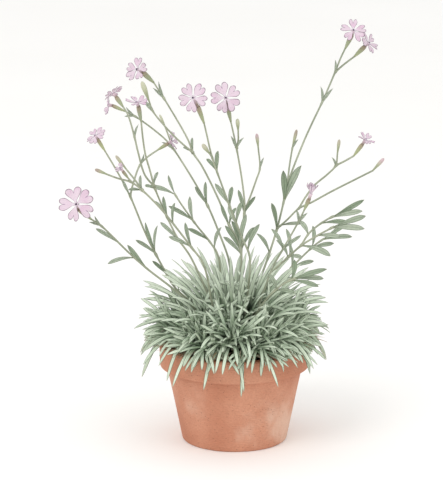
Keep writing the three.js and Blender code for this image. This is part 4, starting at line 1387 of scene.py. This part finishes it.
def crowns(clearance, draw):
    """Crowns of shorter leaves all over the core, each a fan of arching leaves round its own axis."""
    for index in range(CROWN_COUNT):
        share = (index + 0.5) / CROWN_COUNT
        lean = math.acos(1 - share * (1 - math.cos(LOWEST_CROWN_LEAN)))
        outward = level(index * GOLDEN_TURN + 0.3)
        rise = max(0, math.cos(lean)) * (15 + 18 * draw.random())
        base = outward * (23 + 3 * draw.random()) * MM * math.sin(lean) + upward(SOIL_TOP + (3 + rise) * MM)
        axis = (outward * math.sin(lean) + upward(math.cos(lean) + 0.25)).normalized()
        flat = axis.cross(beside(outward)).normalized()
        other = axis.cross(flat)
        leaves = []
        for k in range(CROWN_LEAVES):
            turn = k * GOLDEN_TURN + draw.uniform(-0.2, 0.2)
            spread = math.radians(12 + 54 * math.sqrt((k + 0.5) / CROWN_LEAVES)) + draw.uniform(-0.1, 0.1)
            aside = flat * math.cos(turn) + other * math.sin(turn)
            leaving = axis * math.cos(spread) + aside * math.sin(spread)
            length = draw.uniform(20, 32) * MM
            length *= (0.75 + 0.25 * math.sin(spread)) * (0.76 + 0.24 * math.sin(lean))
            root = base + aside * 0.8 * MM
            tip = root + leaving * length - upward(2.5 * MM * math.sin(lean))
            middle = root + axis * length * 0.38 + leaving * length * 0.16
            curve = arc(root, tip, middle)
            if clearance.is_clear(curve, skipped=3):
                leaves.append((curve, shown(axis - leaving * axis.dot(leaving) * 0.8, outward, 0.9)))
        foot = Vector((base.x * 0.6, base.y * 0.6, SOIL_TOP + (base.z - SOIL_TOP) * 0.6))
        yield arc(foot, base, foot.lerp(base, 0.5) - upward(0.5 * MM)), leaves


def rim_crowns(clearance, draw):
    """Crowns near the rim. Their leaves fan outwards, and the lower ones hang over the pot's edge."""
    for index in range(RIM_CROWN_COUNT):
        outward = level(2 * math.pi * (index + draw.uniform(-0.2, 0.2)) / RIM_CROWN_COUNT)
        crown = outward * draw.uniform(28, 37) * MM + upward(SOIL_TOP + draw.uniform(7, 17) * MM)
        leaves = []
        for _ in range(RIM_CROWN_LEAVES):
            swing, slope = draw.uniform(-1.15, 1.15), draw.uniform(-0.5, 1.2)
            flat = outward * math.cos(swing) + beside(outward) * math.sin(swing)
            leaving = flat * math.cos(slope) + upward(math.sin(slope))
            length = draw.uniform(18, 31) * MM
            room = MOUND_REACH + draw.uniform(-4, 2) * MM - crown.xy.length
            length = min(length, room / max(0.2, math.cos(slope) * math.cos(swing)))
            tip = crown + leaving * length
            middle = crown.lerp(tip, 0.5) + upward((4 + 9 * max(0, -slope)) * MM) + flat * 2 * MM
            curve = arc(crown, tip, middle)
            if clearance.is_clear(curve, skipped=3):
                leaves.append((curve, shown(upward(1) - flat * 0.5 * max(0, slope), outward, 0.7)))
        foot = outward * 17 * MM + upward(SOIL_TOP + 4 * MM)
        yield arc(foot, crown, foot.lerp(crown, 0.5) - upward(1 * MM)), leaves


def fan_blades(draw):
    """The leaves of the front fans, from their crowns out to the tips."""
    for crown, tips in FANS:
        crown = seen(*crown)
        for place in tips:
            tip = seen(*place)
            lower = tip.z < crown.z
            middle = crown.lerp(tip, 0.5) + Vector((0, -3 * MM, 5 * MM if lower else 2 * MM))
            if lower:
                middle = middle.lerp(crown.lerp(tip, 0.6) + Vector((0, -2 * MM, 12 * MM)), 0.6)
            yield arc(crown, tip, middle), Vector((draw.uniform(-0.3, 0.3), -0.75, 0.6)).normalized()


def dry_blades(clearance, draw):
    """Dry leaves under the green ones, on the soil and over the rim."""
    for _ in range(DRY_LEAF_COUNT):
        outward = level(draw.uniform(0, 2 * math.pi))
        start = outward * draw.uniform(22, 30) * MM + upward(SOIL_TOP + draw.uniform(2, 7) * MM)
        over_rim = draw.random() < 0.75
        if over_rim:
            reach = draw.uniform(44, 57)
            height = draw.uniform(7.6, 13) - max(0, reach - 49) * draw.random()
        else:
            reach, height = draw.uniform(33, 39), draw.uniform(1.2, 3)
        aside = beside(outward) * draw.uniform(-9, 9) * MM
        tip = outward * reach * MM + aside + upward(SOIL_TOP + height * MM)
        middle = start.lerp(tip, 0.55)
        middle.z = SOIL_TOP + draw.uniform(9, 15) * MM if over_rim else middle.z + 2 * MM
        curve = arc(start, tip, middle)
        if clearance.is_clear(curve, skipped=2, half_width=0.4 * MM):
            yield curve, upward(1)


def core_mesh():
    """The dark core that the leaves grow from, on the root neck."""
    profile = [(0, -NECK_DEPTH), (NECK_RADIUS, -NECK_DEPTH), (NECK_RADIUS, GAP), (CORE_RADIUS * 0.86, GAP)]
    for i in range(13):
        lean = math.pi / 2 * (1 - i / 12) * 0.94
        profile.append((CORE_RADIUS * 0.95 * math.sin(lean), CORE_HEIGHT * 0.95 * math.cos(lean)))
    profile.append((0, CORE_HEIGHT * 0.95))
    dome = spun([(radius, SOIL_TOP + height) for radius, height in profile], CORE_STEPS)
    for vert in dome.verts:
        if vert.co.z > SOIL_TOP + 1 * MM:
            vert.co += vert.co.normalized() * noise.noise(vert.co * 150) * 1.5 * MM
    for face in dome.faces:
        face.material_index = CORE
    mesh = bpy.data.meshes.new("core")
    dome.to_mesh(mesh)
    dome.free()
    return mesh


def upper_width(curve, width):
    """A mound leaf's width, which is a little more for one that reaches the mound's upper part."""
    rise = (curve.at(1.0)[2] - SOIL_TOP) / MOUND_HEIGHT
    return width * (1 + 0.1 * float(smooth(rise, 0.45, 0.85))) * MM


def make_mound(stems, green, core, dry):
    clearance = Clearance(stems)
    draw = random.Random(7)
    mound = Skins()
    for curve, face in main_blades(clearance):
        look = leaf_look(draw, (0.1, 0.4), 0.4)
        width = upper_width(curve, draw.uniform(2.0, 2.5))
        mound.add(BLADE_GRID, blade(curve, width, MOUND_LEAF_THICKNESS, face, MOUND_LEAF, **look), GREEN)
    for branchlet, leaves in [*crowns(clearance, draw), *rim_crowns(clearance, draw)]:
        mound.add(BRANCHLET_GRID, tube(branchlet, lambda place: (1.1 - 0.4 * place) * MM), CORE)
        for curve, face in leaves:
            look = leaf_look(draw, (0.15, 0.45), 0.6)
            width = upper_width(curve, draw.uniform(1.85, 2.4))
            skin = blade(curve, width, MOUND_LEAF_THICKNESS, face, MOUND_LEAF, **look)
            mound.add(CROWN_LEAF_GRID, skin, GREEN)
    for curve, face in fan_blades(draw):
        look = leaf_look(draw, (0.2, 0.45), 0.4, tone=(0.35, 1))
        width = draw.uniform(2.0, 2.5) * MM
        mound.add(FAN_LEAF_GRID, blade(curve, width, FAN_LEAF_THICKNESS, face, MOUND_LEAF, **look), GREEN)
    mound.shape.from_mesh(core_mesh())
    make_piece("leaf_cushion", mound.shape, [green, core], "leaf_mound")

    litter = Skins()
    for curve, face in dry_blades(clearance, draw):
        look = dict(fold=0.3, tone=draw.random(), twist=draw.uniform(-1.2, 1.2))
        width = draw.uniform(0.8, 1.5) * MM
        litter.add(CROWN_LEAF_GRID, blade(curve, width, DRY_LEAF_THICKNESS, face, DRY_LEAF, **look))
    make_piece("dry_leaves", litter.shape, [dry])


# The studio
def make_studio():
    floor_shape = bmesh.new()
    bmesh.ops.create_grid(floor_shape, x_segments=1, y_segments=1, size=8)
    mesh = bpy.data.meshes.new("studio_floor")
    floor_shape.to_mesh(mesh)
    floor_shape.free()
    finish = Finish("studio_floor", roughness=0.9, shine=0.1)
    finish.ground(finish.noise(3, 2), (246, 245, 242), (250, 249, 247))
    mesh.materials.append(finish.painted())
    floor = bpy.data.objects.new("studio_floor", mesh)
    bpy.context.scene.collection.objects.link(floor)
    floor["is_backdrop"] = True

    world = bpy.data.worlds.new("studio")
    world.use_nodes = True
    world.node_tree.nodes["Background"].inputs["Color"].default_value = (1, 1, 1, 1)
    world.node_tree.nodes["Background"].inputs["Strength"].default_value = 1.0
    bpy.context.scene.world = world
    bpy.context.scene.view_settings.view_transform = "Standard"

    middle = upward(SOIL_TOP + 60 * MM)
    for name, place, size, power in (
        ("key_light", (-0.9, -1.2, 1.5), 0.9, 11),
        ("fill_light", (1.3, -0.8, 0.9), 1.2, 3),
    ):
        lamp = bpy.data.lights.new(name, "AREA")
        lamp.size = size
        lamp.energy = power
        light = bpy.data.objects.new(name, lamp)
        light.location = place
        light.rotation_euler = (middle - light.location).to_track_quat("-Z", "Y").to_euler()
        bpy.context.scene.collection.objects.link(light)


def make_camera():
    """The viewer's eye, looking at the middle of the plant and its pot."""
    camera = bpy.data.cameras.new("viewer")
    viewer = bpy.data.objects.new("viewer", camera)
    viewer.location = EYE
    gaze = PICTURE_MIDDLE - EYE
    camera.sensor_width = SENSOR_WIDTH
    camera.lens = SENSOR_WIDTH * gaze.length / PICTURE_HEIGHT
    viewer.rotation_euler = gaze.to_track_quat("-Z", "Y").to_euler()
    bpy.context.scene.collection.objects.link(viewer)
    bpy.context.scene.camera = viewer


def main():
    make_camera()
    make_studio()
    make_pot(terracotta_finish())
    make_soil(soil_finish())
    stems = [prepare(stem) for stem in STEMS]
    make_mound(stems, blade_finish(), core_finish(), dry_finish())
    stem_finishes = [stalk_finish(), leaf_finish(), calyx_finish(), bud_finish()]
    eye = plain_finish("flower_eye", (84, 70, 92), (112, 96, 120))
    scales = plain_finish("throat_scale", (250, 244, 248), (226, 210, 226))
    bloom_finishes = [petal_finish(), claw_finish(), eye, scales]
    draw = random.Random(12)
    for stem in stems:
        make_stem(stem, stem_finishes, draw)
        letter = stem["name"][-1]
        blooming = [stalk for stalk in stem["stalks"] if "bloom" in stalk]
        for i, stalk in enumerate(blooming, start=1):
            make_bloom(stalk, f"flower_{letter}{i}", f"bloom_{letter}{i}", bloom_finishes, draw)


main()

boxes = {"cad": CAD_BOX, "visual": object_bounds()}
{name: [list(corner) for corner in box] for name, box in boxes.items()}
